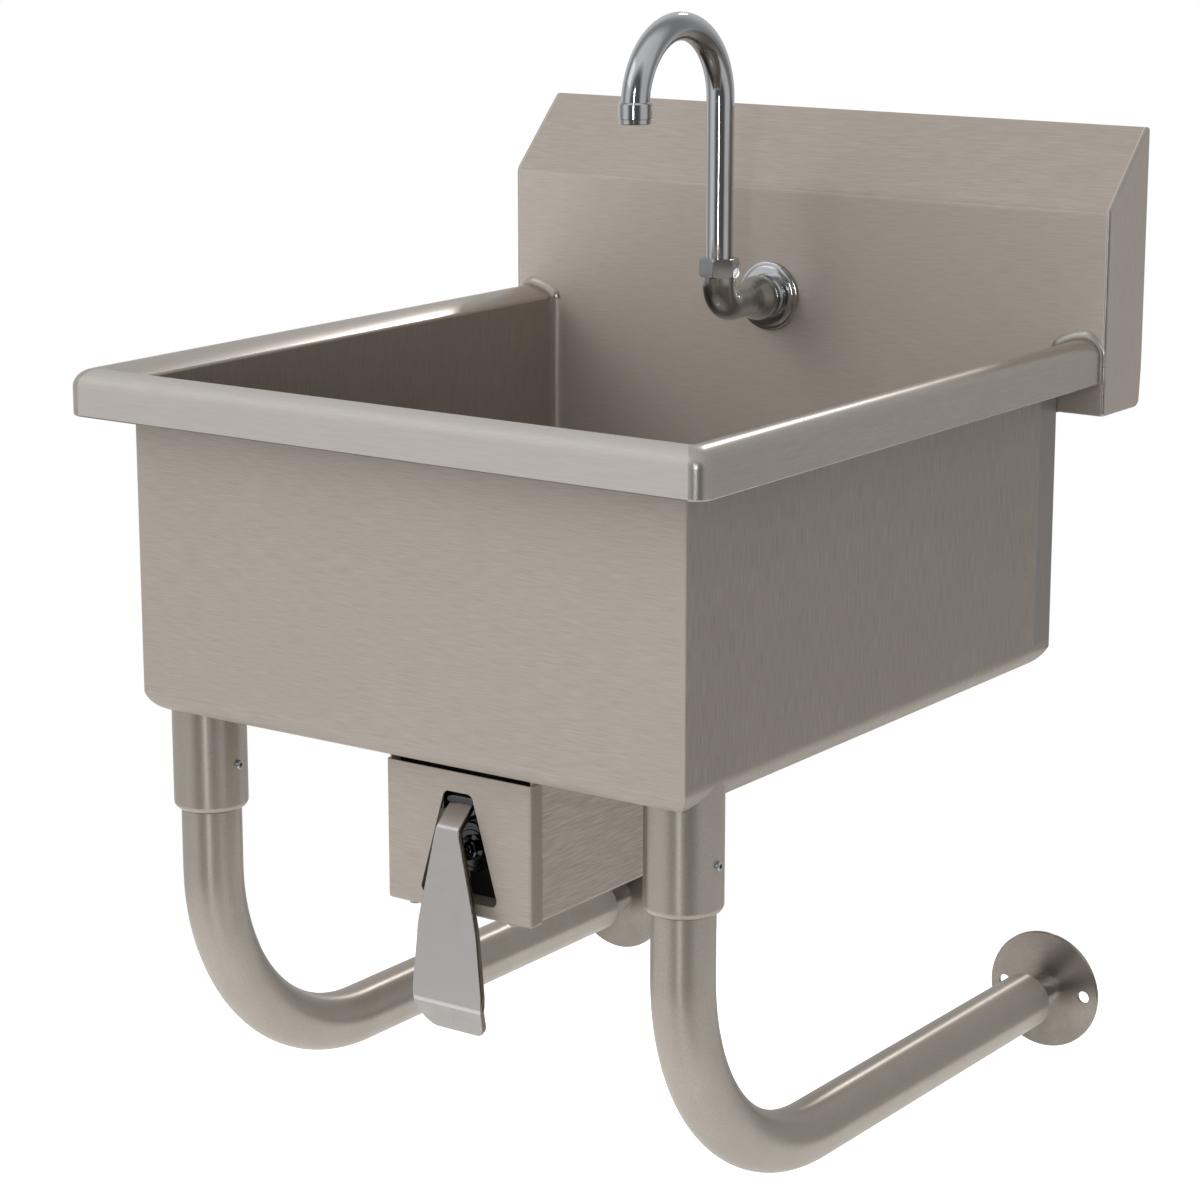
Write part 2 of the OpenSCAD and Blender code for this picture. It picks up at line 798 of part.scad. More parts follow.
// Adjustable foot that is screwed to the wall
module wall_flange(side) {
    color(steel) translate([side * leg_x, 0, leg_axis_z]) to_front() difference() {
        union() {
            cylinder(r = foot_r, h = foot_t);
            cylinder(r = foot_stem_r, h = foot_stem_len);
        }
        for (x = [-1, 1]) translate([x * foot_spacing / 2, 0, -over])
            cylinder(r = foot_hole_r, h = foot_t + 2 * over);
    }
}

module wall_flange_left() {
    wall_flange(-1);
}

module wall_flange_right() {
    wall_flange(1);
}

// Distance of the cover screws from the middle of the box
cover_screw_x = cover_w / 2 - 18;
// Distance of the cover screws behind the cover's face
cover_screw_back = 6;
cover_screw_r = 2;
cover_screw_len = 8;

// Puts a screw's axis at each of the two cover screws, pointing up from below
module at_cover_screws(z) {
    for (x = [-1, 1]) translate([box_x + x * cover_screw_x, cover_y + cover_screw_back, z]) children();
}

// Distance of the valve screws along the housing
valve_screw_y = [valve_rear_y - 50, valve_rear_y - 14];
valve_screw_r = 2.5;
valve_screw_len = 12;

module at_valve_screws(z) {
    for (y = valve_screw_y) translate([box_x, y, z]) children();
}

module valve_housing() {
    inner = box_half - box_flange;
    color(steel) difference() {
        translate([box_x, 0, 0]) along_y(box_front_y, box_rear_y) polygon(sheet(eased(
            [[-inner, floor_z], [-box_half, floor_z], [-box_half, box_low_z],
             [box_half, box_low_z], [box_half, floor_z], [inner, floor_z]],
            [0, 0, 3, 3, 0, 0], bend_n), box_t));
        at_cover_screws(box_low_z - over)
            cylinder(r = cover_screw_r + thread_gap, h = box_t + 2 * over);
        at_valve_screws(box_low_z - over)
            cylinder(r = valve_screw_r + thread_gap, h = box_t + 2 * over);
    }
}

module slot_outline() {
    polygon(eased([[0, 0], [slot_top_w / 2, 0], [slot_bottom_w / 2, -slot_h],
                   [-slot_bottom_w / 2, -slot_h], [-slot_top_w / 2, 0], [0, 0]],
                  [0, slot_r, slot_r, slot_r, slot_r, 0], 6));
}

module valve_cover() {
    low_return = 2 * cover_screw_back;
    color(steel) translate([box_x, 0, 0]) difference() {
        union() {
            translate([0, 0, cover_low_z]) linear_extrude(cover_h) polygon(sheet(eased(
                [[cover_w / 2, cover_y + cover_side], [cover_w / 2, cover_y],
                 [-cover_w / 2, cover_y], [-cover_w / 2, cover_y + cover_side]],
                [0, 2.5, 2.5, 0], bend_n), -box_t));
            translate([-cover_w / 2 + box_t, cover_y + box_t / 2, cover_low_z])
                cube([cover_w - 2 * box_t, low_return - box_t / 2, box_t]);
        }
        translate([0, 0, slot_top_z]) along_y(cover_y - over, cover_y + box_t + over) slot_outline();
        translate([-box_x, 0, 0]) at_cover_screws(cover_low_z - over)
            cylinder(r = cover_screw_r + thread_gap, h = box_t + 2 * over);
    }
}

// Pan head under the plate at z = 0, with its shank going up
module pan_screw(r, length) {
    head_t = 0.8 * r;
    translate([0, 0, -head_t]) difference() {
        cylinder(r = 1.8 * r, h = head_t);
        translate([-1.2 * r, -0.2 * r, -over]) cube([2.4 * r, 0.4 * r, head_t / 2 + over]);
    }
    cylinder(r = r, h = length);
}

module cover_screws() {
    color(zinc) at_cover_screws(cover_low_z) pan_screw(cover_screw_r, cover_screw_len);
}

module valve_screws() {
    color(zinc) at_valve_screws(box_low_z) pan_screw(valve_screw_r, valve_screw_len);
}

// Axis of the valve, running from the pedal to the wall, with z = 0 at the depth y
module on_valve(y) {
    translate([box_x, y, valve_z]) rotate([-90, 0, 0]) children();
}

// Axis of the boss at x and z, running from the pedal to the wall
module on_boss(x, y, z) {
    translate([x, y, z]) rotate([-90, 0, 0]) children();
}

module valve_body() {
    foot_w = 30;
    manifold_y = valve_rear_y - manifold_len;
    boss_r = inlet_r + 2.6;
    outlet_boss_r = supply_r + 4;
    block_share = 0.8;
    color(brass) difference() {
        union() {
            on_valve(bonnet_rear_y) cylinder(r = valve_r, h = valve_len);
            on_valve(bonnet_rear_y - nose_len) cylinder(r = nose_r, h = nose_len + over);
            on_boss(hot_x, manifold_y, valve_z) cylinder(r = boss_r, h = manifold_len);
            on_boss(cold_x, manifold_y, cold_z) cylinder(r = boss_r, h = manifold_len);
            on_boss(box_x + supply_x, manifold_y, supply_z)
                cylinder(r = outlet_boss_r, h = manifold_len);
            translate([box_x, manifold_y, valve_z - block_share * boss_r])
                cube([hot_shift, manifold_len, 2 * block_share * boss_r]);
            translate([box_x + supply_x - block_share * outlet_boss_r, manifold_y, valve_z])
                cube([2 * block_share * outlet_boss_r, manifold_len, supply_z - valve_z]);
            translate([box_x - foot_w / 2, bonnet_rear_y + 6, box_floor_z])
                cube([foot_w, valve_len - 12, valve_z - valve_r / 2 - box_floor_z]);
        }
        on_valve(bonnet_rear_y - nose_len - over)
            cylinder(r = plunger_r + running_fit, h = nose_len + stem_reach);
        on_valve(chamber_y) cylinder(r = chamber_r, h = chamber_len);
        at_valve_screws(box_floor_z - over)
            cylinder(r = valve_screw_r + thread_gap, h = valve_screw_len + over);
        on_boss(box_x + supply_x, valve_rear_y - tube_in_valve - 2 * over, supply_z)
            cylinder(r = supply_r + thread_gap, h = tube_in_valve + 3 * over);
    }
}

module bonnet_nut() {
    flutes = 8;
    flute_r = 4.5;
    rim_r = bonnet_r + 2.2;
    recess_h = 5;
    color(dark) on_valve(bonnet_y) difference() {
        cylinder(r = rim_r, h = bonnet_len);
        for (i = [0:flutes - 1]) rotate((i + 0.5) * 360 / flutes)
            translate([bonnet_r + flute_r, 0, -over]) cylinder(r = flute_r, h = bonnet_len + 2 * over);
        translate([0, 0, -over]) cylinder(r = plunger_cap_r + 1, h = recess_h + over);
        translate([0, 0, -over]) cylinder(r = plunger_r + running_fit, h = bonnet_len);
        translate([0, 0, bonnet_len - nose_len])
            cylinder(r = nose_r + thread_gap, h = nose_len + over);
    }
}

// Plunger that the pedal pushes, with its cap, stem and the disc that meets the spring
module valve_plunger() {
    stem_len = stem_rear_y - cap_rear_y;
    color(chrome) on_valve(plunger_tip_y) {
        cylinder(r = plunger_cap_r, h = cap_t);
        cylinder(r = plunger_r, h = cap_t + stem_len);
        translate([0, 0, cap_t + stem_len - stem_disc_t])
            cylinder(r = chamber_r - over, h = stem_disc_t);
    }
}

// Point on ring i of the spring's wire, at angle a round the wire
function coil_point(i, per_turn, pitch, r, a) =
    let (turn = i * 360 / per_turn)
    [(r + spring_wire_r * cos(a)) * cos(turn), (r + spring_wire_r * cos(a)) * sin(turn),
     spring_wire_r * (1 + sin(a)) + pitch * i / per_turn];

module return_spring() {
    per_turn = 12;
    sides = 6;
    rings = spring_turns * per_turn;
    length = chamber_y + chamber_len - stem_rear_y - 2 * hand_gap;
    pitch = (length - 2 * spring_wire_r) / spring_turns;
    coil_r = chamber_r - hand_gap - spring_wire_r;
    color(zinc) on_valve(stem_rear_y + hand_gap) polyhedron(
        points = [for (i = [0:rings], s = [0:sides - 1])
                      coil_point(i, per_turn, pitch, coil_r, s * 360 / sides)],
        faces = concat(
            [[for (s = [0:sides - 1]) s]],
            [[for (s = [sides - 1:-1:0]) rings * sides + s]],
            [for (i = [0:rings - 1], s = [0:sides - 1])
                let (a = i * sides + s, b = i * sides + (s + 1) % sides) [a, a + sides, b]],
            [for (i = [0:rings - 1], s = [0:sides - 1])
                let (a = i * sides + s, b = i * sides + (s + 1) % sides) [b, a + sides, b + sides]]));
}

// Threaded inlet with its axis at the given place
module inlet(x, z) {
    inlet_wall = 3.4;
    color(brass) on_boss(x, valve_rear_y, z) ring(inlet_r, inlet_r - inlet_wall, inlet_len);
}

module hot_inlet() {
    inlet(hot_x, valve_z);
}

module cold_inlet() {
    inlet(cold_x, cold_z);
}

// Ears behind the cover that carry the hinge pin
module pedal_bracket() {
    ear_x = barrel_len / 2 + ear_gap;
    plate_y = cover_y + box_t;
    color(dark) translate([box_x, 0, 0]) difference() {
        union() {
            translate([-ear_x - 3 * ear_t, plate_y, slot_top_z + over])
                cube([2 * (ear_x + 3 * ear_t), 2, slot_gap - 3 * over]);
            for (side = [0, 1]) mirror([side, 0, 0]) {
                translate([ear_x, plate_y, hinge_z - ear_r])
                    cube([ear_t, hinge_y - plate_y, slot_top_z + 2 * over - hinge_z + ear_r]);
                translate([ear_x, hinge_y, hinge_z]) rotate([0, 90, 0]) cylinder(r = ear_r, h = ear_t);
            }
        }
        translate([-ear_x - ear_t - over, hinge_y, hinge_z]) rotate([0, 90, 0])
            cylinder(r = hinge_r + running_fit, h = 2 * (ear_x + ear_t + over));
    }
}

module hinge_pin() {
    half = barrel_len / 2 + ear_gap + ear_t;
    head_t = 1.5;
    color(zinc) translate([box_x, hinge_y, hinge_z]) rotate([0, 90, 0]) {
        translate([0, 0, -half - head_t]) cylinder(r = hinge_r, h = 2 * (half + head_t));
        translate([0, 0, half]) cylinder(r = hinge_r + 1.4, h = head_t);
        translate([0, 0, -half - head_t]) cylinder(r = hinge_r + 1.4, h = head_t);
    }
}

// Front face of the pedal as a path in y and z, from the hinge down to the tip
pedal_path = eased([[hinge_y - 1.5, hinge_z + 1.7],
                    [pedal_face_y, hinge_z - pedal_bend_drop],
                    [pedal_face_y - pedal_lean, hinge_z - pedal_crease_drop],
                    [pedal_face_y - pedal_lean + pedal_kick, hinge_z - pedal_tip_drop]],
                   [0, 6, 12, 0], 5);

// Front outline of the pedal in x and z, with z = 0 at the hinge
pedal_outline = eased([[-pedal_neck_w / 2, barrel_r], [-pedal_neck_w / 2, -pedal_bend_drop],
                       [-pedal_w * 0.42, -pedal_crease_drop * 0.61],
                       [-pedal_w / 2, -pedal_crease_drop * 0.95],
                       [-pedal_w * 0.46, -pedal_tip_drop], [pedal_w * 0.44, -pedal_tip_drop],
                       [pedal_w / 2, -pedal_crease_drop * 0.95],
                       [pedal_w * 0.42, -pedal_crease_drop * 0.61],
                       [pedal_neck_w / 2, -pedal_bend_drop], [pedal_neck_w / 2, barrel_r]],
                      [0, 20, 90, 60, pedal_round_r, pedal_tight_r, 60, 90, 20, 0], 5);

module knee_pedal() {
    boss_r = 6;
    boss_tip_y = plunger_tip_y - hand_gap;
    color(chrome) difference() {
        union() {
            intersection() {
                along_x(box_x - pedal_w, box_x + pedal_w) polygon(sheet(pedal_path, pedal_t));
                translate([box_x, 0, hinge_z]) along_y(hinge_y - 60, hinge_y + 20) polygon(pedal_outline);
            }
            translate([box_x - barrel_len / 2, hinge_y, hinge_z]) rotate([0, 90, 0])
                cylinder(r = barrel_r, h = barrel_len);
            translate([box_x, boss_tip_y - boss_r, valve_z]) sphere(r = boss_r);
            translate([box_x, boss_tip_y - boss_r, valve_z]) rotate([90, 0, 0])
                cylinder(r = boss_r, h = boss_tip_y - boss_r - pedal_face_y - pedal_t / 2);
        }
        translate([box_x - barrel_len, hinge_y, hinge_z]) rotate([0, 90, 0])
            cylinder(r = hinge_r + running_fit, h = 2 * barrel_len);
    }
}

// How far the supply tube reaches sideways, from the valve's outlet to the tap
supply_shift = box_x + supply_x + tap_x;
// Bend radius of the tube where it turns into the tap's shank
supply_last_r = 12;
// Length and height of the slanting stretch, and the straight length above it
slant = (supply_shift - 2 * supply_bend_r * (1 - cos(45))) / sin(45);
slant_rise = supply_shift + 2 * supply_bend_r * (2 * sin(45) - 1);
supply_upper = 36;
slant_top_z = tap_z - supply_last_r - supply_upper;

// Bar along the middle of the lower tube, from the valve's outlet to the middle of the slant
module supply_lower_bar(r, extra) {
    start_y = valve_rear_y - tube_in_valve;
    translate([box_x + supply_x, start_y - extra, supply_z]) rotate([-90, 0, 0])
        run(r, -supply_d - supply_bend_r - start_y + extra)
        bend(r, supply_bend_r, 90, -90)
        run(r, slant_top_z - slant_rise - supply_z - supply_bend_r)
        bend(r, supply_bend_r, 45, 180)
        run(r, slant / 2 + extra);
}

// Bar along the middle of the upper tube, from the tap's shank to the middle of the slant
module supply_upper_bar(r, extra) {
    inside = 6;
    translate([-tap_x, shank_rear_y - inside - extra, tap_z]) rotate([-90, 0, 0]) rotate([0, 0, 180])
        run(r, -supply_d - supply_last_r - shank_rear_y + inside + extra)
        bend(r, supply_last_r, 90, -90)
        run(r, supply_upper)
        bend(r, supply_bend_r, 45, 180)
        run(r, slant / 2 + extra);
}

module supply_tube_lower() {
    color(chrome) difference() {
        supply_lower_bar(supply_r, 0);
        supply_lower_bar(supply_r - supply_wall, over);
    }
}

module supply_tube_upper() {
    color(chrome) difference() {
        supply_upper_bar(supply_r, 0);
        supply_upper_bar(supply_r - supply_wall, over);
    }
}

// Hexagon of the width af across its flats
module hexagon(af, h) {
    cylinder(r = af / 2 / cos(30), h = h, $fn = 6);
}

module tube_nuts() {
    nut_len = 9;
    end_t = 3;
    color(brass) {
        on_boss(box_x + supply_x, valve_rear_y, supply_z) difference() {
            hexagon(15, nut_len);
            translate([0, 0, -over]) cylinder(r = supply_r + thread_gap, h = nut_len + 2 * over);
        }
        on_boss(-tap_x, shank_rear_y - nut_len + end_t, tap_z) difference() {
            hexagon(25, nut_len);
            translate([0, 0, -over]) cylinder(r = shank_r + thread_gap, h = nut_len - end_t + over);
            translate([0, 0, -over]) cylinder(r = supply_r + thread_gap, h = nut_len + 2 * over);
        }
        translate([(box_x + supply_x - tap_x) / 2, -supply_d, slant_top_z - slant_rise / 2])
            rotate([0, -45, 0]) translate([0, 0, -nut_len]) difference() {
                hexagon(13, 2 * nut_len);
                translate([0, 0, -over]) cylinder(r = supply_r + thread_gap, h = 2 * (nut_len + over));
            }
    }
}

// Tap axis running to the front, with z = 0 at the depth y
module on_tap(y) {
    translate([-tap_x, y, tap_z]) to_front() children();
}

module escutcheon() {
    color(chrome) on_tap(back_face_y) rotate_extrude() polygon([
        [shank_r + thread_gap, 0], [plate_r, 0], [plate_r, plate_t * 0.35],
        [plate_r - 2, plate_t * 0.75], [plate_r - 6, plate_t], [shank_r + thread_gap, plate_t]]);
}

// Upright axis of the spout
module on_spout(z) {
    translate([-tap_x, spout_axis_y, z]) children();
}

module tap_body() {
    reach = spout_d - back_d - plate_t - elbow_bend_r;
    rise = elbow_rise - elbow_bend_r;
    bulb = tap_bulb_r;
    color(chrome) difference() {
        union() {
            on_tap(plate_y) rotate_extrude() polygon(concat(
                [[0, 0], [bulb - 2.5, 0]],
                arc([bulb - 11, 11], 11, -35, 50, 8),
                [[elbow_r + 0.8, 29], [elbow_r, 34], [0, 34]]));
            on_tap(plate_y) run(elbow_r, reach) bend(elbow_r, elbow_bend_r, 90, 90) run(elbow_r, rise);
            on_spout(elbow_top_z - over) cylinder(r = spigot_r, h = spigot_h + over);
        }
        on_tap(plate_y + over)
            run(water_r, reach + over) bend(water_r, elbow_bend_r, 90, 90) run(water_r, rise);
        on_tap(plate_y + over)
            cylinder(r = shank_r + thread_gap, h = shank_in_tap + 2 * over);
        on_spout(socket_z) cylinder(r = spout_r + running_fit, h = elbow_rise + spigot_h);
    }
}

module tap_shank() {
    length = shank_rear_y - shank_front_y;
    color(brass) on_tap(shank_rear_y) ring(shank_r, water_r, length);
}

module shank_washer() {
    washer_r = 17;
    color(zinc) on_tap(back_face_y + sheet_t + shank_washer_t)
        ring(washer_r, shank_r + thread_gap, shank_washer_t);
}

module shank_locknut() {
    nut_t = 8;
    color(brass) on_tap(back_face_y + sheet_t + shank_washer_t + nut_t) difference() {
        hexagon(30, nut_t);
        translate([0, 0, -over]) cylinder(r = shank_r + thread_gap, h = nut_t + 2 * over);
    }
}

// Nut that holds the spout's collar and its seal on the elbow
module spout_nut() {
    cavity_h = spigot_h + 3 * step_gap + collar_t + seal_t;
    color(chrome) on_spout(elbow_top_z) difference() {
        intersection() {
            hexagon(nut_af, nut_h);
            cylinder(r = nut_af / 2 / cos(30) - 0.6, h = nut_h);
        }
        translate([0, 0, -over]) cylinder(r = spigot_r + step_gap, h = cavity_h + over);
        cylinder(r = spout_r + hand_gap, h = nut_h + over);
    }
}

module spout_seal() {
    seal_z = elbow_top_z + spigot_h + 2 * step_gap + collar_t;
    color(rubber) on_spout(seal_z + step_gap) ring(spigot_r, spout_r + running_fit, seal_t);
}

// Bar along the middle of the gooseneck
module spout_bar(r, extra) {
    on_spout(pipe_low_z - extra)
        run(r, spout_bend_z - pipe_low_z + extra)
            bend(r, spout_bend_r, 180, -90)
                run(r, spout_outlet + extra);
}

module gooseneck_spout() {
    color(chrome) difference() {
        union() {
            spout_bar(spout_r, 0);
            on_spout(elbow_top_z + spigot_h + step_gap) cylinder(r = collar_r, h = collar_t);
        }
        spout_bar(spout_r - spout_wall, over);
    }
}

// Axis of the gooseneck's outlet
module on_outlet(z) {
    translate([-tap_x, spout_axis_y - 2 * spout_bend_r, z]) children();
}

module aerator_shell() {
    low_z = spout_bend_z - spout_outlet - 3.4;
    mouth_r = spout_r - 1.5;
    fit_r = spout_r + thread_gap;
    edge = 0.8;
    relief = 0.4;
    color(chrome) on_outlet(low_z) rotate_extrude() polygon([
        [mouth_r, 0], [aerator_r - edge, 0], [aerator_r, edge], [aerator_r, aerator_h - 3],
        [fit_r + 2 * relief, aerator_h], [fit_r + relief, aerator_h],
        [fit_r, aerator_h - 6], [fit_r, 2], [mouth_r, 2]]);
}

module aerator_screen() {
    screen_z = spout_bend_z - spout_outlet - 1.4;
    color(dark) on_outlet(screen_z) difference() {
        cylinder(r = spout_r, h = 1.2);
        for (row = [1:3], i = [0:row * 6 - 1]) rotate(i * 60 / row)
            translate([row * 2.4, 0, -over]) cylinder(r = 0.7, h = 1.2 + 2 * over);
    }
}

bowl();
rolled_rim();
backsplash();
backsplash_end_left();
backsplash_end_right();
wall_bracket();
drain_flange();
drain_gasket();
drain_washer();
drain_locknut();
strainer_basket();
leg_sleeve_left();
leg_sleeve_right();
leg_tube_left();
leg_tube_right();
set_screws();
leg_end_plug_left();
leg_end_plug_right();
wall_flange_left();
wall_flange_right();
valve_housing();
valve_cover();
cover_screws();
valve_body();
valve_screws();
bonnet_nut();
pedal_bracket();
hinge_pin();
knee_pedal();
valve_plunger();
return_spring();
hot_inlet();
cold_inlet();
supply_tube_lower();
supply_tube_upper();
tube_nuts();
escutcheon();
tap_body();
tap_shank();
shank_washer();
shank_locknut();
spout_nut();
spout_seal();
gooseneck_spout();
aerator_shell();
aerator_screen();
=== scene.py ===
"""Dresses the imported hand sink: brushed steel sheet, polished tap, knee valve and legs.

Every length is in metres. The wall is the plane y = 0, the front faces -y, and z = 0 is the
crown of the rolled rim.
"""
import json
import logging
import math
from contextlib import contextmanager
from dataclasses import dataclass, field
from enum import Enum
from typing import Callable, Iterator, Sequence

import bmesh
import bpy
from mathutils import Matrix, Vector

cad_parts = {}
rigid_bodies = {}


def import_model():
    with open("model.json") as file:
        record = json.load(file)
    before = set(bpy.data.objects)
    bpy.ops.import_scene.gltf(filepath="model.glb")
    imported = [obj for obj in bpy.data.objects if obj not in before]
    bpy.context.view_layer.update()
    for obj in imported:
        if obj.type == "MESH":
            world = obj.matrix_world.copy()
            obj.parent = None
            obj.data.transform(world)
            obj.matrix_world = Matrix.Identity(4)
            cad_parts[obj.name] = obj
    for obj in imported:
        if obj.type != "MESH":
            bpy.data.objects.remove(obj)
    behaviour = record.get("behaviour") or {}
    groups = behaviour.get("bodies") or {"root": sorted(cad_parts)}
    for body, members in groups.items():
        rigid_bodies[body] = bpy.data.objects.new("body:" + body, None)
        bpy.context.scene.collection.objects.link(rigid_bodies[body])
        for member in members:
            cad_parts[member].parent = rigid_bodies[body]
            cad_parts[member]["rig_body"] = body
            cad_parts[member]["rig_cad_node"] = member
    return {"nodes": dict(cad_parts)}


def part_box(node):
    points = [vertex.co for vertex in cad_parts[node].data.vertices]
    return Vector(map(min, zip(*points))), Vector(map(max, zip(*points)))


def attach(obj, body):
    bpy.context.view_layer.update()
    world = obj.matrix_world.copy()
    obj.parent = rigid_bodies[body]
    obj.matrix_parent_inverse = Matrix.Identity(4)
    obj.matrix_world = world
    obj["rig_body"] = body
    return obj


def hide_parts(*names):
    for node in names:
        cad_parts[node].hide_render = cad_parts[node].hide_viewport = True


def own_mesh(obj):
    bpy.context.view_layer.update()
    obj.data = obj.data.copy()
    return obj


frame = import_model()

LOG = logging.getLogger("hand_sink")
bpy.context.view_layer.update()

Flat = tuple[float, float]
Triple = tuple[float, float, float]
Section = Sequence[Vector]
Socket = bpy.types.NodeSocket
Test = Callable[..., bool]
X_AXIS = Vector((1.0, 0.0, 0.0))
Y_AXIS = Vector((0.0, 1.0, 0.0))
Z_AXIS = Vector((0.0, 0.0, 1.0))
MM = 0.001
TINY = 1e-6
FACING = 0.72


class Select(Enum):
    """What an edit-mode step selects."""

    EDGES = "EDGE"
    FACES = "FACE"


class Grain(Enum):
    """The way in which a brushed surface is grained."""

    ALONG_X = (1, 0, 0)
    ALONG_Y = (0, 1, 0)
    ALONG_Z = (0, 0, 1)


class Side(Enum):
    """The left or the right half of the sink, seen from the front."""

    LEFT = -1
    RIGHT = 1

    @property
    def word(self) -> str:
        """The side's name as it stands in the nodes' names."""
        return self.name.lower()


# ---------------------------------------------------------------------------------------
# Outlines
# ---------------------------------------------------------------------------------------


def heading(a: Flat, b: Flat) -> float:
    """Angle of the line from a to b, in radians."""
    return math.atan2(b[1] - a[1], b[0] - a[0])


def arc(centre: Flat, radius: float, start: float, end: float, steps: int) -> list[Flat]:
    """Points on an arc.

    Args:
        centre: The arc's centre.
        radius: The arc's radius.
        start: Angle of the first point, in degrees.
        end: Angle of the last point, in degrees.
        steps: Number of steps from the first point to the last.

    Returns:
        The points in order.
    """
    angles = [math.radians(start + (end - start) * i / steps) for i in range(steps + 1)]
    return [(centre[0] + radius * math.cos(a), centre[1] + radius * math.sin(a)) for a in angles]


def rounded_corner(a: Flat, b: Flat, c: Flat, radius: float, steps: int) -> list[Flat]:
    """Points that round the corner b between a and c with the given radius.

    Args:
        a: The point before the corner.
        b: The corner.
        c: The point after it.
        radius: The rounding's radius.
        steps: Number of steps in the rounding.

    Returns:
        The rounding's points in order.
    """
    u = (Vector(a) - Vector(b)).normalized()
    w = (Vector(c) - Vector(b)).normalized()
    half = math.acos(max(-1.0, min(1.0, u.dot(w)))) / 2
    centre = Vector(b) + (u + w).normalized() * radius / math.sin(half)
    start = heading(centre, Vector(b) + u * radius / math.tan(half))
    end = heading(centre, Vector(b) + w * radius / math.tan(half))
    sweep = (end - start + math.pi) % math.tau - math.pi
    return arc(tuple(centre), radius, math.degrees(start), math.degrees(start + sweep), steps)


def eased(path: Sequence[Flat], radii: Sequence[float], steps: int = 8) -> list[Flat]:
    """A path with its corners rounded.

    Args:
        path: The corners of the path.
        radii: A radius for each corner, or 0 for one that stays sharp.
        steps: Number of steps in each rounding.

    Returns:
        The points of the rounded path.
    """
    points: list[Flat] = []
    last = len(path)
    for i, radius in enumerate(radii):
        if radius == 0:
            points.append(path[i])
        else:
            points += rounded_corner(path[i - 1], path[i], path[(i + 1) % last], radius, steps)
    return points


def shifted(path: Sequence[Flat], distance: float) -> list[Flat]:
    """The path moved to its left by a distance, mitred at its bends.

    Args:
        path: The corners of the path.
        distance: How far it moves.

    Returns:
        The moved corners in order.
    """
    moved: list[Flat] = []
    for i, point in enumerate(path):
        before = heading(path[i - 1], point) if i else heading(point, path[1])
        after = heading(point, path[i + 1]) if i < len(path) - 1 else before
        half = ((after - before + math.pi) % math.tau - math.pi) / 2
        reach = distance / math.cos(half)
        angle = before + half
        moved.append((point[0] - reach * math.sin(angle), point[1] + reach * math.cos(angle)))
    return moved


def sheet_outline(path: Sequence[Flat], thickness: float) -> list[Flat]:
    """Closed outline of a sheet that lies to the left of a path, or right if negative."""
    return list(path) + shifted(path, thickness)[::-1]


def looked_up(table: Sequence[Flat], place: float) -> float:
    """Value at a place between the entries of a table.

    Args:
        table: Place and value of each entry, in order.
        place: The place.

    Returns:
        The value, which beyond either end is that end's own.
    """
    for (d0, w0), (d1, w1) in zip(table, table[1:]):
        if d0 <= place <= d1 and d1 > d0:
            return w0 + (w1 - w0) * (place - d0) / (d1 - d0)
    return table[0][1] if place < table[0][0] else table[-1][1]


def fixed(x: float, y: float, z: float) -> Vector:
    """A dataclass field that holds a point."""
    return field(default_factory=lambda: Vector((x, y, z)))


# ---------------------------------------------------------------------------------------
# The bench: one mesh at a time, shaped with Blender's own tools
# ---------------------------------------------------------------------------------------


def deselect() -> None:
    """Goes back to object mode with nothing selected."""
    if bpy.context.mode != "OBJECT":
        bpy.ops.object.mode_set(mode="OBJECT")
    bpy.ops.object.select_all(action="DESELECT")


def focus(obj: bpy.types.Object) -> None:
    """Selects obj alone and makes it the active object.

    Args:
        obj: The object.
    """
    deselect()
    obj.select_set(True)
    bpy.context.view_layer.objects.active = obj


@contextmanager
def editing(obj: bpy.types.Object) -> Iterator[None]:
    """Holds obj alone in edit mode.

    Args:
        obj: The object.

    Yields:
        Nothing, while the object is in edit mode.
    """
    focus(obj)
    bpy.ops.object.mode_set(mode="EDIT")
    yield
    bpy.ops.object.mode_set(mode="OBJECT")


def pick(obj: bpy.types.Object, kind: Select, test: Test) -> None:
    """Selects what passes a test, in edit mode.

    Args:
        obj: The object in edit mode.
        kind: Whether edges or faces are tested.
        test: Tells whether one of them is selected.
    """
    bpy.ops.mesh.select_mode(type=kind.value)
    bpy.ops.mesh.select_all(action="DESELECT")
    mesh = bmesh.from_edit_mesh(obj.data)
    for part in mesh.edges if kind is Select.EDGES else mesh.faces:
        if test(part):
            part.select_set(True)
    bmesh.update_edit_mesh(obj.data)


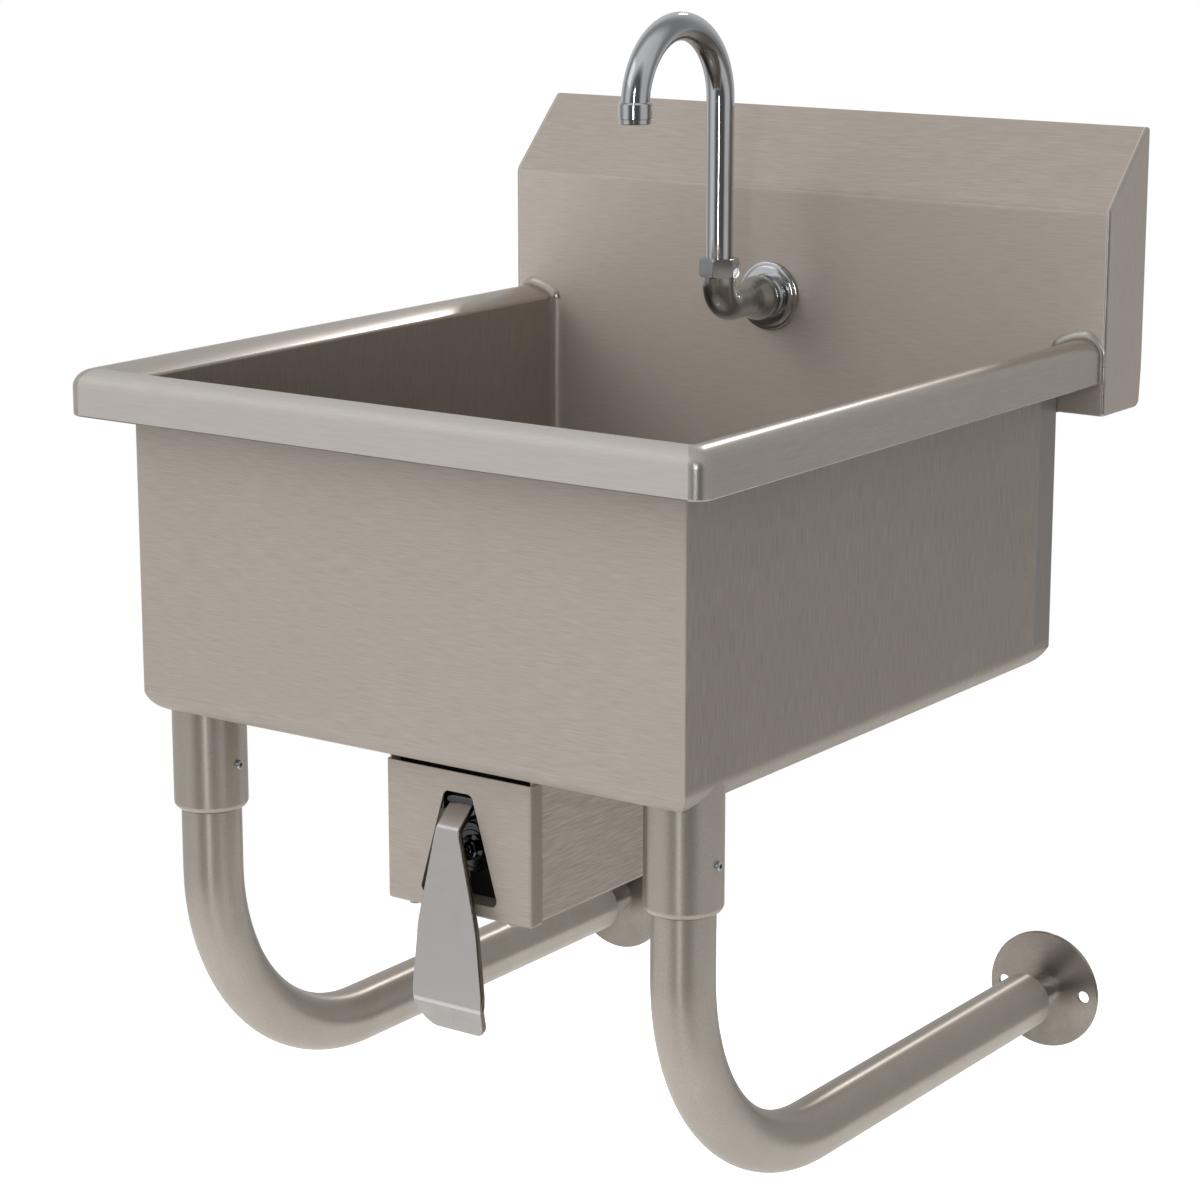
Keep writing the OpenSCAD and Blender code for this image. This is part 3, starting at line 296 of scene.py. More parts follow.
class Piece:
    """One piece of the sink, from its first outline to its place on a body."""

    def __init__(self, name: str) -> None:
        """Takes the active object as the piece and names it.

        Args:
            name: The piece's name.
        """
        self.obj = bpy.context.active_object
        self.obj.name = name
        self.obj.data.name = name

    @classmethod
    def ring(cls, name: str, section: Section, filled: bool, is_open: bool = False) -> "Piece":
        """Starts a piece from a circle whose points are moved to a section.

        Args:
            name: The piece's name.
            section: The places of the points, in order.
            filled: Whether the section is a face.
            is_open: Whether the line from the last point to the first is left out.

        Returns:
            The new piece, a flat section.
        """
        deselect()
        bpy.ops.mesh.primitive_circle_add(
            vertices=len(section), radius=1, fill_type="NGON" if filled else "NOTHING")
        piece = cls(name)
        with editing(piece.obj):
            mesh = bmesh.from_edit_mesh(piece.obj.data)
            spot = mesh.verts.layers.int.new("spot")
            for vertex in mesh.verts:
                vertex[spot] = vertex.index
                vertex.co = section[vertex.index]
            bmesh.update_edit_mesh(piece.obj.data)
            if is_open:
                ends = {0, len(section) - 1}
                pick(piece.obj, Select.EDGES, lambda edge: {v.index for v in edge.verts} == ends)
                bpy.ops.mesh.delete(type="EDGE")
        return piece

    @classmethod
    def loft(cls, name: str, sections: Sequence[Section], is_open: bool = False) -> "Piece":
        """Extrudes a section from one place to the next.

        Args:
            name: The piece's name.
            sections: Sections of equal length, each a list of points in order.
            is_open: Whether the sections are open lines, which gives a bare skin.

        Returns:
            The new piece.
        """
        piece = cls.ring(name, sections[0], not is_open, is_open)
        with editing(piece.obj):
            bpy.ops.mesh.select_mode(type="VERT")
            bpy.ops.mesh.select_all(action="SELECT")
            for section in sections[1:]:
                bpy.ops.mesh.extrude_region_move()
                mesh = bmesh.from_edit_mesh(piece.obj.data)
                spot = mesh.verts.layers.int["spot"]
                for vertex in mesh.verts:
                    if vertex.select:
                        vertex.co = section[vertex[spot]]
                bmesh.update_edit_mesh(piece.obj.data)
        piece.clean()
        return piece

    @classmethod
    def prism(cls, name: str, outline: Sequence[Flat], along: Vector, start: float,
              end: float) -> "Piece":
        """Extrudes a flat outline along an axis.

        Args:
            name: The piece's name.
            outline: The outline, in y and z, in x and z or in x and y.
            along: The axis along which it runs.
            start: Where it starts on the axis.
            end: Where it ends on the axis.

        Returns:
            The new piece, a closed solid.
        """
        def spread(place: float) -> list[Vector]:
            """The outline at one place on the axis.

            Args:
                place: Distance along the axis.

            Returns:
                The outline's points.
            """
            if along == X_AXIS:
                return [Vector((place, a, b)) for a, b in outline]
            if along == Y_AXIS:
                return [Vector((a, place, b)) for a, b in outline]
            return [Vector((a, b, place)) for a, b in outline]
        return cls.loft(name, [spread(start), spread(end)])

    @classmethod
    def lathe(cls, name: str, outline: Sequence[Flat], base: Vector, axis: Vector,
              steps: int = 64, closed: bool = False) -> "Piece":
        """Spins an outline round an axis.

        Args:
            name: The piece's name.
            outline: Radius and height of each point.
            base: The point on the axis where the height is 0.
            axis: The axis, as a unit vector.
            steps: Number of steps round the axis.
            closed: Whether the outline's last point joins its first.

        Returns:
            The new piece, a closed skin.
        """
        outwards = axis.orthogonal().normalized()
        section = [base + axis * height + outwards * radius for radius, height in outline]
        piece = cls.ring(name, section, False, not closed)
        with editing(piece.obj):
            bpy.ops.mesh.select_mode(type="VERT")
            bpy.ops.mesh.select_all(action="SELECT")
            bpy.ops.mesh.spin(steps=steps, angle=math.tau, center=base, axis=axis)
        piece.clean()
        return piece

    @classmethod
    def rod(cls, name: str, radius: float, start: float, end: float, base: Vector,
            axis: Vector, steps: int = 64) -> "Piece":
        """Makes a plain round bar, or a prism where it has few steps.

        Args:
            name: The piece's name.
            radius: The bar's radius.
            start: Where it starts on the axis.
            end: Where it ends on the axis.
            base: The point on the axis from which both are measured.
            axis: The axis, as a unit vector.
            steps: Number of steps round the axis.

        Returns:
            The new piece, a closed solid.
        """
        outline = [(0, start), (radius, start), (radius, end), (0, end)]
        return cls.lathe(name, outline, base, axis, steps)

    @classmethod
    def block(cls, name: str, low: Vector, high: Vector) -> "Piece":
        """Starts a piece from a block between two corners.

        Args:
            name: The piece's name.
            low: The corner with the lowest values.
            high: The corner with the highest values.

        Returns:
            The new piece, a closed solid.
        """
        deselect()
        bpy.ops.mesh.primitive_cube_add(size=1, location=(low + high) / 2, scale=high - low)
        piece = cls(name)
        bpy.ops.object.transform_apply(location=True, rotation=True, scale=True)
        return piece

    @classmethod
    def from_node(cls, name: str, node: str) -> "Piece":
        """Starts a piece from a merged copy of a node's mesh.

        Args:
            name: The piece's name.
            node: The node, which itself stays as it is.

        Returns:
            The new piece.
        """
        source = frame["nodes"][node]
        focus(source)
        bpy.ops.object.duplicate()
        piece = cls(name)
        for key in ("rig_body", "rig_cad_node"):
            del piece.obj[key]
        piece.obj.parent = None
        piece.obj.data.materials.clear()
        piece.clean(recalculate=False)
        with editing(piece.obj):
            bpy.ops.mesh.select_all(action="SELECT")
            bpy.ops.mesh.dissolve_limited(angle_limit=math.radians(0.2))
        return piece

    def clean(self, recalculate: bool = True) -> "Piece":
        """Merges doubled points and turns the faces outwards.

        Args:
            recalculate: Whether the faces are turned, or stay as they are.

        Returns:
            The piece itself.
        """
        with editing(self.obj):
            bpy.ops.mesh.select_all(action="SELECT")
            bpy.ops.mesh.remove_doubles(threshold=TINY)
            if recalculate:
                bpy.ops.mesh.normals_make_consistent(inside=False)
        return self

    def modify(self, kind: str, **settings: object) -> "Piece":
        """Adds a modifier with its settings and applies it.

        Args:
            kind: The modifier's type.
            settings: The modifier's own options.

        Returns:
            The piece itself.
        """
        focus(self.obj)
        modifier = self.obj.modifiers.new(kind.lower(), kind)
        for key, value in settings.items():
            setattr(modifier, key, value)
        bpy.ops.object.modifier_apply(modifier=modifier.name)
        return self

    def combine(self, operation: str, *tools: "Piece") -> "Piece":
        """Cuts the piece or intersects it with others, which are used up.

        Args:
            operation: Blender's name of the operation.
            tools: The other pieces.

        Returns:
            The piece itself.
        """
        for tool in tools:
            self.modify("BOOLEAN", operation=operation, object=tool.obj, solver="EXACT")
            bpy.data.objects.remove(tool.obj)
        return self

    def cut(self, *tools: "Piece") -> "Piece":
        """Cuts other pieces out of this one."""
        return self.combine("DIFFERENCE", *tools)

    def common(self, *tools: "Piece") -> "Piece":
        """Keeps what this piece shares with others."""
        return self.combine("INTERSECT", *tools)

    def soften(self, width: float, segments: int = 3, angle: float = 40) -> "Piece":
        """Rounds every edge that is sharper than an angle in degrees."""
        return self.modify("BEVEL", width=width, segments=segments, limit_method="ANGLE",
                           angle_limit=math.radians(angle), miter_outer="MITER_ARC")

    def bevel(self, width: float, segments: int, test: Test) -> "Piece":
        """Rounds the edges that pass a test.

        Args:
            width: The rounding's width.
            segments: Number of steps in it.
            test: Tells whether an edge is rounded.

        Returns:
            The piece itself.
        """
        with editing(self.obj):
            pick(self.obj, Select.EDGES, test)
            bpy.ops.mesh.bevel(offset=width, segments=segments, affect="EDGES")
        return self

    def remove_faces(self, test: Test) -> "Piece":
        """Deletes the faces that pass a test.

        Args:
            test: Tells whether a face goes.

        Returns:
            The piece itself.
        """
        with editing(self.obj):
            pick(self.obj, Select.FACES, test)
            bpy.ops.mesh.delete(type="FACE")
        return self

    def smooth(self, angle: float = 32) -> "Piece":
        """Shades the piece smooth, apart from edges sharper than an angle in degrees.

        Args:
            angle: The least angle of an edge that stays sharp.

        Returns:
            The piece itself.
        """
        focus(self.obj)
        bpy.ops.object.shade_smooth_by_angle(angle=math.radians(angle))
        return self.modify("WEIGHTED_NORMAL", keep_sharp=True, weight=80)

    def dress(self, finish: "Finish", test: Test | None = None) -> "Piece":
        """Gives the piece a finish, or only the faces that pass a test.

        Args:
            finish: The finish.
            test: Tells whether a face gets it, or None for all.

        Returns:
            The piece itself.
        """
        materials = self.obj.data.materials
        materials.append(finish.material())
        if test is not None:
            for face in self.obj.data.polygons:
                if test(face):
                    face.material_index = len(materials) - 1
        return self

    def mount(self, body: str, slot: str, *nodes: str) -> "Piece":
        """Puts the finished piece on its body.

        Args:
            body: The body that it rides on.
            slot: The record's material slot of its finish; not used.
            nodes: The nodes that it stands for.

        Returns:
            The piece itself.
        """
        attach(self.obj, body)
        if nodes:
            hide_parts(*nodes)
        LOG.info("%s rides on %s and stands for %s", self.obj.name, body, nodes or "itself")
        return self


class Route:
    """Middle line of a round bar, made of straight runs and bends."""

    def __init__(self, start: Vector, forward: Vector, across: Vector) -> None:
        """Starts the line at a point, with its direction and a direction across it.

        Args:
            start: The first point.
            forward: The direction in which the line sets out.
            across: A direction square to it.
        """
        self.place = start.copy()
        self.forward = forward.normalized()
        self.across = across.normalized()
        self.stations: list[tuple[Vector, Vector, Vector]] = []
        self.mark()

    def mark(self) -> None:
        """Keeps the line's present place and directions as a station."""
        self.stations.append((self.place.copy(), self.forward.copy(), self.across.copy()))

    def run(self, length: float, steps: int = 1) -> "Route":
        """Goes straight on for a length.

        Args:
            length: The length.
            steps: Number of stations on it.

        Returns:
            The route itself.
        """
        for _ in range(steps):
            self.place += self.forward * length / steps
            self.mark()
        return self

    def bend(self, radius: float, angle: float, toward: Vector, steps: int) -> "Route":
        """Turns through an angle in degrees towards a direction square to the line.

        Args:
            radius: Radius of the middle line.
            angle: The angle.
            toward: The direction.
            steps: Number of stations on the bend.

        Returns:
            The route itself.
        """
        centre = self.place + toward.normalized() * radius
        axis = self.forward.cross(toward).normalized()
        turn = Matrix.Rotation(math.radians(angle) / steps, 3, axis)
        for _ in range(steps):
            self.place = centre + turn @ (self.place - centre)
            self.forward = turn @ self.forward
            self.across = turn @ self.across
            self.mark()
        return self

    def rings(self, radius: float | Callable[[float], float], around: int) -> list[Section]:
        """Circles round the line, for a loft.

        Args:
            radius: The bar's radius, or a function of the distance along the line.
            around: Number of points in each circle.

        Returns:
            One section for each station.
        """
        sections: list[Section] = []
        gone = 0.0
        before = self.stations[0][0]
        for place, forward, across in self.stations:
            gone += (place - before).length
            before = place
            size = radius(gone) if callable(radius) else radius
            other = forward.cross(across)
            angles = [math.tau * i / around for i in range(around)]
            sections.append([place + (across * math.cos(a) + other * math.sin(a)) * size
                             for a in angles])
        return sections


# ---------------------------------------------------------------------------------------
# Finishes
# ---------------------------------------------------------------------------------------


class Nodes:
    """A node tree under construction."""

    def __init__(self, tree: bpy.types.NodeTree) -> None:
        """Takes the tree to which nodes are added."""
        self.tree = tree

    def link(self, source: Socket, target: Socket) -> None:
        """Joins an output to an input."""
        self.tree.links.new(source, target)

    def add(self, kind: str, inputs: dict | None = None, **settings: object) -> bpy.types.Node:
        """Adds a node, sets its options and fills its inputs.

        Args:
            kind: The node's type.
            inputs: A value or a socket for each input, by name or number.
            settings: The node's own options.

        Returns:
            The new node.
        """
        node = self.tree.nodes.new(kind)
        for key, value in settings.items():
            setattr(node, key, value)
        for key, value in (inputs or {}).items():
            if isinstance(value, Socket):
                self.link(value, node.inputs[key])
            else:
                node.inputs[key].default_value = value
        return node

    def compute(self, operation: str, *values: float | Socket) -> Socket:
        """Result of a sum on numbers and sockets."""
        return self.add("ShaderNodeMath", dict(enumerate(values)), operation=operation).outputs[0]

    def reshape(self, operation: str, *values: Sequence[float] | Socket) -> Socket:
        """Result of a sum on vectors."""
        return self.add("ShaderNodeVectorMath", dict(enumerate(values)),
                        operation=operation).outputs[0]

    def seen(self) -> Socket:
        """A share of 1 for what the camera, a reflection or a view through glass sees.

        Returns:
            The share, which is 0 for the light that a surface spreads.
        """
        rays = self.add("ShaderNodeLightPath").outputs
        total = rays["Is Camera Ray"]
        for kind in ("Is Glossy Ray", "Is Transmission Ray"):
            total = self.compute("MAXIMUM", total, rays[kind])
        return total


class Graph(Nodes):
    """A material under construction, with its nodes."""

    def __init__(self, name: str) -> None:
        """Starts a material with one Principled shader.

        Args:
            name: The material's name.
        """
        self.material = bpy.data.materials.new(name)
        self.material.use_nodes = True
        super().__init__(self.material.node_tree)
        self.shader = self.tree.nodes["Principled BSDF"]

    def coordinates(self, scale: Sequence[float]) -> Socket:
        """Object coordinates, stretched by a scale.

        Args:
            scale: The scale for each axis.

        Returns:
            The coordinates.
        """
        source = self.add("ShaderNodeTexCoord")
        mapping = self.add("ShaderNodeMapping",
                           {"Vector": source.outputs["Object"], "Scale": tuple(scale)})
        return mapping.outputs["Vector"]

    def noise(self, scale: Sequence[float], detail: float = 2.0,
              roughness: float = 0.5) -> Socket:
        """Noise whose size is given for each axis, as spots in a metre.

        Args:
            scale: Number of spots in a metre along each axis.
            detail: Number of finer layers.
            roughness: Strength of the finer layers.

        Returns:
            The noise, mostly between 0.3 and 0.7.
        """
        node = self.add("ShaderNodeTexNoise", {"Vector": self.coordinates(scale), "Scale": 1.0,
                                               "Detail": detail, "Roughness": roughness})
        return node.outputs["Fac"]

    def spread(self, value: Socket, low: float, high: float,
               start: float = 0.3, end: float = 0.7) -> Socket:
        """Maps a noise's usual values to a range.

        Args:
            value: The noise.
            low: The result at start.
            high: The result at end.
            start: The least usual value.
            end: The greatest usual value.

        Returns:
            The mapped value.
        """
        node = self.add("ShaderNodeMapRange", {"Value": value, "From Min": start,
                                               "From Max": end, "To Min": low, "To Max": high})
        return node.outputs["Result"]

    def blend(self, share: Socket, first: Triple | Socket, second: Triple) -> Socket:
        """A colour between two colours.

        Args:
            share: The second colour's share.
            first: The first colour.
            second: The second colour.

        Returns:
            The mixed colour.
        """
        start = first if isinstance(first, Socket) else (*first, 1.0)
        return self.add("ShaderNodeMix", {"Factor": share, 6: start, 7: (*second, 1.0)},
                        data_type="RGBA").outputs[2]

    def bump(self, height: Socket, strength: float) -> Socket:
        """A normal that follows a fine relief."""
        return self.add("ShaderNodeBump", {"Height": height, "Strength": strength,
                                           "Distance": 0.2 * MM}).outputs["Normal"]

    def direction(self, *parts: float | Socket) -> Socket:
        """A vector made of three parts."""
        return self.add("ShaderNodeCombineXYZ", dict(enumerate(parts))).outputs[0]

    def finish(self, colour: Socket, roughness: Socket, normal: Socket | None = None,
               tangent: Socket | None = None, **values: float) -> bpy.types.Material:
        """Joins the shader's inputs.

        Args:
            colour: The colour.
            roughness: The roughness.
            normal: The normal, or None for the mesh's own.
            tangent: The way in which reflections are drawn out, if any.
            values: Numbers for other inputs, by name with _ for a space.

        Returns:
            The finished material.
        """
        for name, socket in (("Base Color", colour), ("Roughness", roughness),
                             ("Normal", normal), ("Tangent", tangent)):
            if socket is not None:
                self.link(socket, self.shader.inputs[name])
        for key, value in values.items():
            self.shader.inputs[key.replace("_", " ")].default_value = value
        return self.material


@dataclass(frozen=True)
class Finish:
    """A surface finish. Each kind of finish builds its own material once."""

    name: str

    def material(self) -> bpy.types.Material:
        """The finish's material, which is made the first time that it is asked for."""
        return bpy.data.materials.get(self.name) or self.build(Graph(self.name))

    def build(self, graph: Graph) -> bpy.types.Material:
        """Builds the material's nodes."""
        raise NotImplementedError


@dataclass(frozen=True)
class BrushedSteel(Finish):
    """Sheet steel with a satin grain that runs one way."""

    grain: Grain = Grain.ALONG_X
    colour: Triple = (0.475, 0.424, 0.374)
    dark: Triple = (0.385, 0.342, 0.300)
    roughness: float = 0.50
    anisotropy: float = 0.85
    metal: float = 0.6
    stroke: float = 55.0
    fine: float = 1500.0
    relief: float = 0.08

    def across(self, along: float, fine: float) -> tuple[float, ...]:
        """Scale of a pattern that is long with the grain and fine across it."""
        return tuple(along if way else fine for way in self.grain.value)

    def build(self, graph: Graph) -> bpy.types.Material:
        """Builds streaks for the colour, the roughness and the relief.

        Args:
            graph: The material under construction.

        Returns:
            The finished material.
        """
        streaks = graph.noise(self.across(self.stroke, self.fine), 3.0, 0.6)
        strokes = graph.noise(self.across(self.stroke / 6, self.fine / 4), 2.0)
        clouds = graph.noise((16.0, 16.0, 16.0), 3.0)
        colour = graph.blend(graph.spread(streaks, 0.0, 1.0), self.colour, self.dark)
        colour = graph.blend(graph.spread(clouds, 0.0, 0.22), colour, self.dark)
        rough = graph.compute("ADD", graph.spread(strokes, -0.015, 0.015),
                              graph.spread(streaks, self.roughness - 0.03,
                                           self.roughness + 0.03))
        slant = (0.02, 0.03, 0.04)
        along = graph.direction(*(way + lean for way, lean in zip(self.grain.value, slant)))
        return graph.finish(colour, rough, graph.bump(streaks, self.relief), along,
                            Metallic=self.metal, Anisotropic=self.anisotropy,
                            Anisotropic_Rotation=0.25)


@dataclass(frozen=True)
class TubeSteel(Finish):
    """Steel tube, polished round and round, whose bend has a middle of its own."""

    colour: Triple = (0.475, 0.43, 0.38)
    dark: Triple = (0.345, 0.31, 0.27)
    roughness: float = 0.36
    anisotropy: float = 0.7
    bend_y: float = -338 * MM
    bend_z: float = -350 * MM

    def build(self, graph: Graph) -> bpy.types.Material:
        """Builds a fine speckle and reflections that follow the tube.

        Args:
            graph: The material under construction.

        Returns:
            The finished material.
        """
        speckle = graph.noise((1100.0, 1100.0, 1100.0), 2.0)
        clouds = graph.noise((38.0, 38.0, 22.0), 3.0)
        colour = graph.blend(graph.spread(speckle, 0.0, 0.6), self.colour, self.dark)
        colour = graph.blend(graph.spread(clouds, 0.0, 0.3, 0.2, 0.8), colour, self.dark)
        rough = graph.spread(clouds, self.roughness - 0.02, self.roughness + 0.03, 0.2, 0.8)
        source = graph.add("ShaderNodeTexCoord").outputs["Object"]
        reach = graph.reshape("SUBTRACT", source, (0.0, self.bend_y, self.bend_z))
        held = graph.reshape("MINIMUM", reach, (0.0, 0.0, 0.0))
        parts = graph.add("ShaderNodeSeparateXYZ", {0: held}).outputs
        along = graph.direction(0.0005, graph.compute("MULTIPLY", parts["Z"], -1.0), parts["Y"])
        return graph.finish(colour, rough, None, along, Metallic=1.0,
                            Anisotropic=self.anisotropy)


@dataclass(frozen=True)
class PolishedSteel(Finish):
    """Steel that was blended by hand, brighter and smoother than the sheet."""

    colour: Triple = (0.54, 0.505, 0.465)
    roughness: float = 0.28
    dark: Triple = (0.36, 0.33, 0.30)

    def build(self, graph: Graph) -> bpy.types.Material:
        """Builds soft clouds and a fine speckle.

        Args:
            graph: The material under construction.

        Returns:
            The finished material.
        """
        clouds = graph.noise((90.0, 90.0, 90.0), 3.0)
        speckle = graph.noise((1900.0, 600.0, 900.0), 2.0)
        colour = graph.blend(graph.spread(clouds, 0.0, 0.8, 0.2, 0.8), self.colour, self.dark)
        colour = graph.blend(graph.spread(speckle, 0.0, 0.25), colour, self.dark)
        rough = graph.spread(clouds, self.roughness - 0.03, self.roughness + 0.05, 0.2, 0.8)
        return graph.finish(colour, rough, Metallic=1.0)


@dataclass(frozen=True)
class Chrome(Finish):
    """Bright or dark plating with faint smears, and a painted dark reflection in a band along its
    sides where the surface turns from view.
    """

    colour: Triple = (0.66, 0.67, 0.69)
    roughness: float = 0.06

    def build(self, graph: Graph) -> bpy.types.Material:
        """Builds the smears and the band.

        Args:
            Builds the smears and the band of painted dark reflection.

        Returns:
            The finished material.
        """
        smears = graph.noise((60.0, 60.0, 60.0), 4.0)
        shade = tuple(0.94 * value for value in self.colour)
        dark = tuple(0.30 * value for value in self.colour)
        # Painted dark reflection: the colour darkens in a band set by how far the surface faces
        # away from view.
        facing = graph.add("ShaderNodeLayerWeight").outputs["Facing"]
        band = graph.compute("SUBTRACT", graph.spread(facing, 0.0, 0.8, 0.22, 0.34),
                             graph.spread(facing, 0.0, 0.8, 0.42, 0.60))
        colour = graph.blend(graph.spread(smears, 0.0, 1.0), self.colour, shade)
        colour = graph.blend(band, colour, dark)
        rough = graph.spread(smears, self.roughness, self.roughness * 2)
        return graph.finish(colour, rough, Metallic=1.0)


@dataclass(frozen=True)
class TurnedMetal(Finish):
    """Plated, cast or turned metal with a fine speckle, in a colour of its own."""

    colour: Triple = (0.50, 0.465, 0.42)
    roughness: float = 0.3
    speckle: float = 500.0
    relief: float = 0.12

    def build(self, graph: Graph) -> bpy.types.Material:
        """Builds speckles, stains and a fine relief.

        Args:
            graph: The material under construction.

        Returns:
            The finished material.
        """
        speckles = graph.noise((self.speckle,) * 3, 3.0, 0.6)
        stains = graph.noise((45.0, 45.0, 45.0), 3.0)
        shade = tuple(0.7 * value for value in self.colour)
        colour = graph.blend(graph.spread(stains, 0.0, 0.7), self.colour, shade)
        colour = graph.blend(graph.spread(speckles, 0.0, 0.3), colour, shade)
        rough = graph.spread(speckles, self.roughness - 0.05, self.roughness + 0.1)
        return graph.finish(colour, rough, graph.bump(speckles, self.relief), Metallic=1.0)


@dataclass(frozen=True)
class FacedSteel(Finish):
    """Steel faced on a lathe, whose fine rings draw the light out into wedges."""

    colour: Triple = (0.40, 0.36, 0.315)
    dark: Triple = (0.27, 0.24, 0.21)
    roughness: float = 0.4
    anisotropy: float = 0.92

    def build(self, graph: Graph) -> bpy.types.Material:
        """Builds a speckle, and reflections drawn out round the piece's own axis.

        Args:
            graph: The material under construction.

        Returns:
            The finished material.
        """
        speckles = graph.noise((600.0, 600.0, 600.0), 3.0, 0.6)
        stains = graph.noise((45.0, 45.0, 45.0), 3.0)
        colour = graph.blend(graph.spread(stains, 0.0, 0.6), self.colour, self.dark)
        colour = graph.blend(graph.spread(speckles, 0.0, 0.4), colour, self.dark)
        rough = graph.spread(speckles, self.roughness - 0.03, self.roughness + 0.05)
        round_axis = graph.add("ShaderNodeTangent", direction_type="RADIAL", axis="Y")
        return graph.finish(colour, rough, graph.bump(speckles, 0.08), round_axis.outputs[0],
                            Metallic=1.0, Anisotropic=self.anisotropy,
                            Anisotropic_Rotation=0.25)


@dataclass(frozen=True)
class SoftBlack(Finish):
    """Rubber, fibre or black plastic."""

    colour: Triple = (0.02, 0.02, 0.022)
    roughness: float = 0.5

    def build(self, graph: Graph) -> bpy.types.Material:
        """Builds a fine grain.

        Args:
            graph: The material under construction.

        Returns:
            The finished material.
        """
        grain = graph.noise((1200.0,) * 3, 2.0)
        shade = tuple(1.8 * value for value in self.colour)
        colour = graph.blend(graph.spread(grain, 0.0, 1.0), self.colour, shade)
        rough = graph.spread(grain, self.roughness - 0.08, self.roughness + 0.08)
        return graph.finish(colour, rough, graph.bump(grain, 0.1), Metallic=0.0)


SHEET_X = BrushedSteel("brushed sheet, level grain", Grain.ALONG_X)
# Upright grain for the bowl's sides, in a lighter colour than the level sheet: painted light on
# the sides.
SHEET_Z_PAINTED_LIGHT = BrushedSteel("brushed sheet, upright grain", Grain.ALONG_Z, (0.535, 0.480, 0.425),
                       (0.375, 0.332, 0.290))
# Grain towards the wall for the valve housing, in a much lighter colour than the sheet: painted
# light.
SHEET_Y_PAINTED_LIGHT = BrushedSteel("brushed sheet, grain to the wall", Grain.ALONG_Y, (0.70, 0.63, 0.555),
                       (0.45, 0.40, 0.35))
SHEET_REAR = BrushedSteel("brushed sheet, rear band", Grain.ALONG_Z, (0.385, 0.362, 0.350),
                          (0.32, 0.30, 0.29), 0.38)
RIM_X = BrushedSteel("rim, grain along the front", Grain.ALONG_X, (0.505, 0.475, 0.442),
                     (0.46, 0.43, 0.40), 0.42, 0.6)
RIM_Y = BrushedSteel("rim, grain along the sides", Grain.ALONG_Y, (0.50, 0.455, 0.41),
                     (0.43, 0.39, 0.35), 0.30, 0.3, 0.85)
# A dark colour for the underside of the front lip: painted shade under the rim.
RIM_LIP_PAINTED_SHADE = BrushedSteel("rim, turned under", Grain.ALONG_X, (0.22, 0.20, 0.18),
                       (0.18, 0.16, 0.14))
# The end plates' steel in a lighter colour than the sheet: painted light.
END_PLATE_PAINTED_LIGHT = BrushedSteel("end plate", Grain.ALONG_Z, (0.71, 0.645, 0.58), (0.625, 0.565, 0.505))
# A lighter colour for the bowl's back wall and the backsplash's face: painted light on the back
# wall.
SHEET_BACK_PAINTED_LIGHT = BrushedSteel("brushed sheet, towards the wall", Grain.ALONG_X,
                          (0.55, 0.495, 0.435), (0.46, 0.41, 0.36))
# A darker colour for the bowl's inner side walls: painted shade inside the bowl.
SHEET_INSIDE_PAINTED_SHADE = BrushedSteel("brushed sheet, inside of the bowl", Grain.ALONG_Z,
                            (0.43, 0.385, 0.335), (0.34, 0.30, 0.26))
TUBE = TubeSteel("polished tube")
BLEND = PolishedSteel("blended weld")
CORNER = PolishedSteel("blended corner", (0.54, 0.50, 0.46), 0.33, (0.40, 0.37, 0.34))
CHROME = Chrome("polished chrome")
PEDAL_STEEL = PolishedSteel("polished pedal", (0.58, 0.56, 0.545), 0.20, (0.50, 0.48, 0.465))
# A darker colour for the pedal's kicked tip: painted shade where it faces down.
PEDAL_TIP_PAINTED_SHADE = PolishedSteel("pedal tip", (0.42, 0.405, 0.39), 0.24, (0.34, 0.325, 0.31))
# A dark brown for the pedal's right edge: painted shade.
PEDAL_EDGE_PAINTED_SHADE = PolishedSteel("pedal edge", (0.20, 0.165, 0.13), 0.18, (0.12, 0.10, 0.08))
DARK_CHROME = Chrome("dark chrome", (0.10, 0.10, 0.105), 0.08)
FLANGE_STEEL = FacedSteel("turned steel")
ZINC = TurnedMetal("zinc plate", (0.55, 0.58, 0.62), 0.28, 300.0)
BRASS = TurnedMetal("valve brass", (0.62, 0.44, 0.17), 0.3, 420.0)
# Near black, for the fold behind the cover's gap, which is painted shade, and for the front of
# the valve casting.
DARK_CAST_AND_PAINTED_SHADE = TurnedMetal("dark casting", (0.045, 0.04, 0.035), 0.5, 700.0)
RUBBER = SoftBlack("black rubber")
FIBRE = SoftBlack("grey fibre", (0.12, 0.11, 0.10), 0.8)
MESH = TurnedMetal("dark mesh", (0.16, 0.16, 0.17), 0.35, 900.0)


# ---------------------------------------------------------------------------------------
# Bowl, rim and backsplash
# ---------------------------------------------------------------------------------------


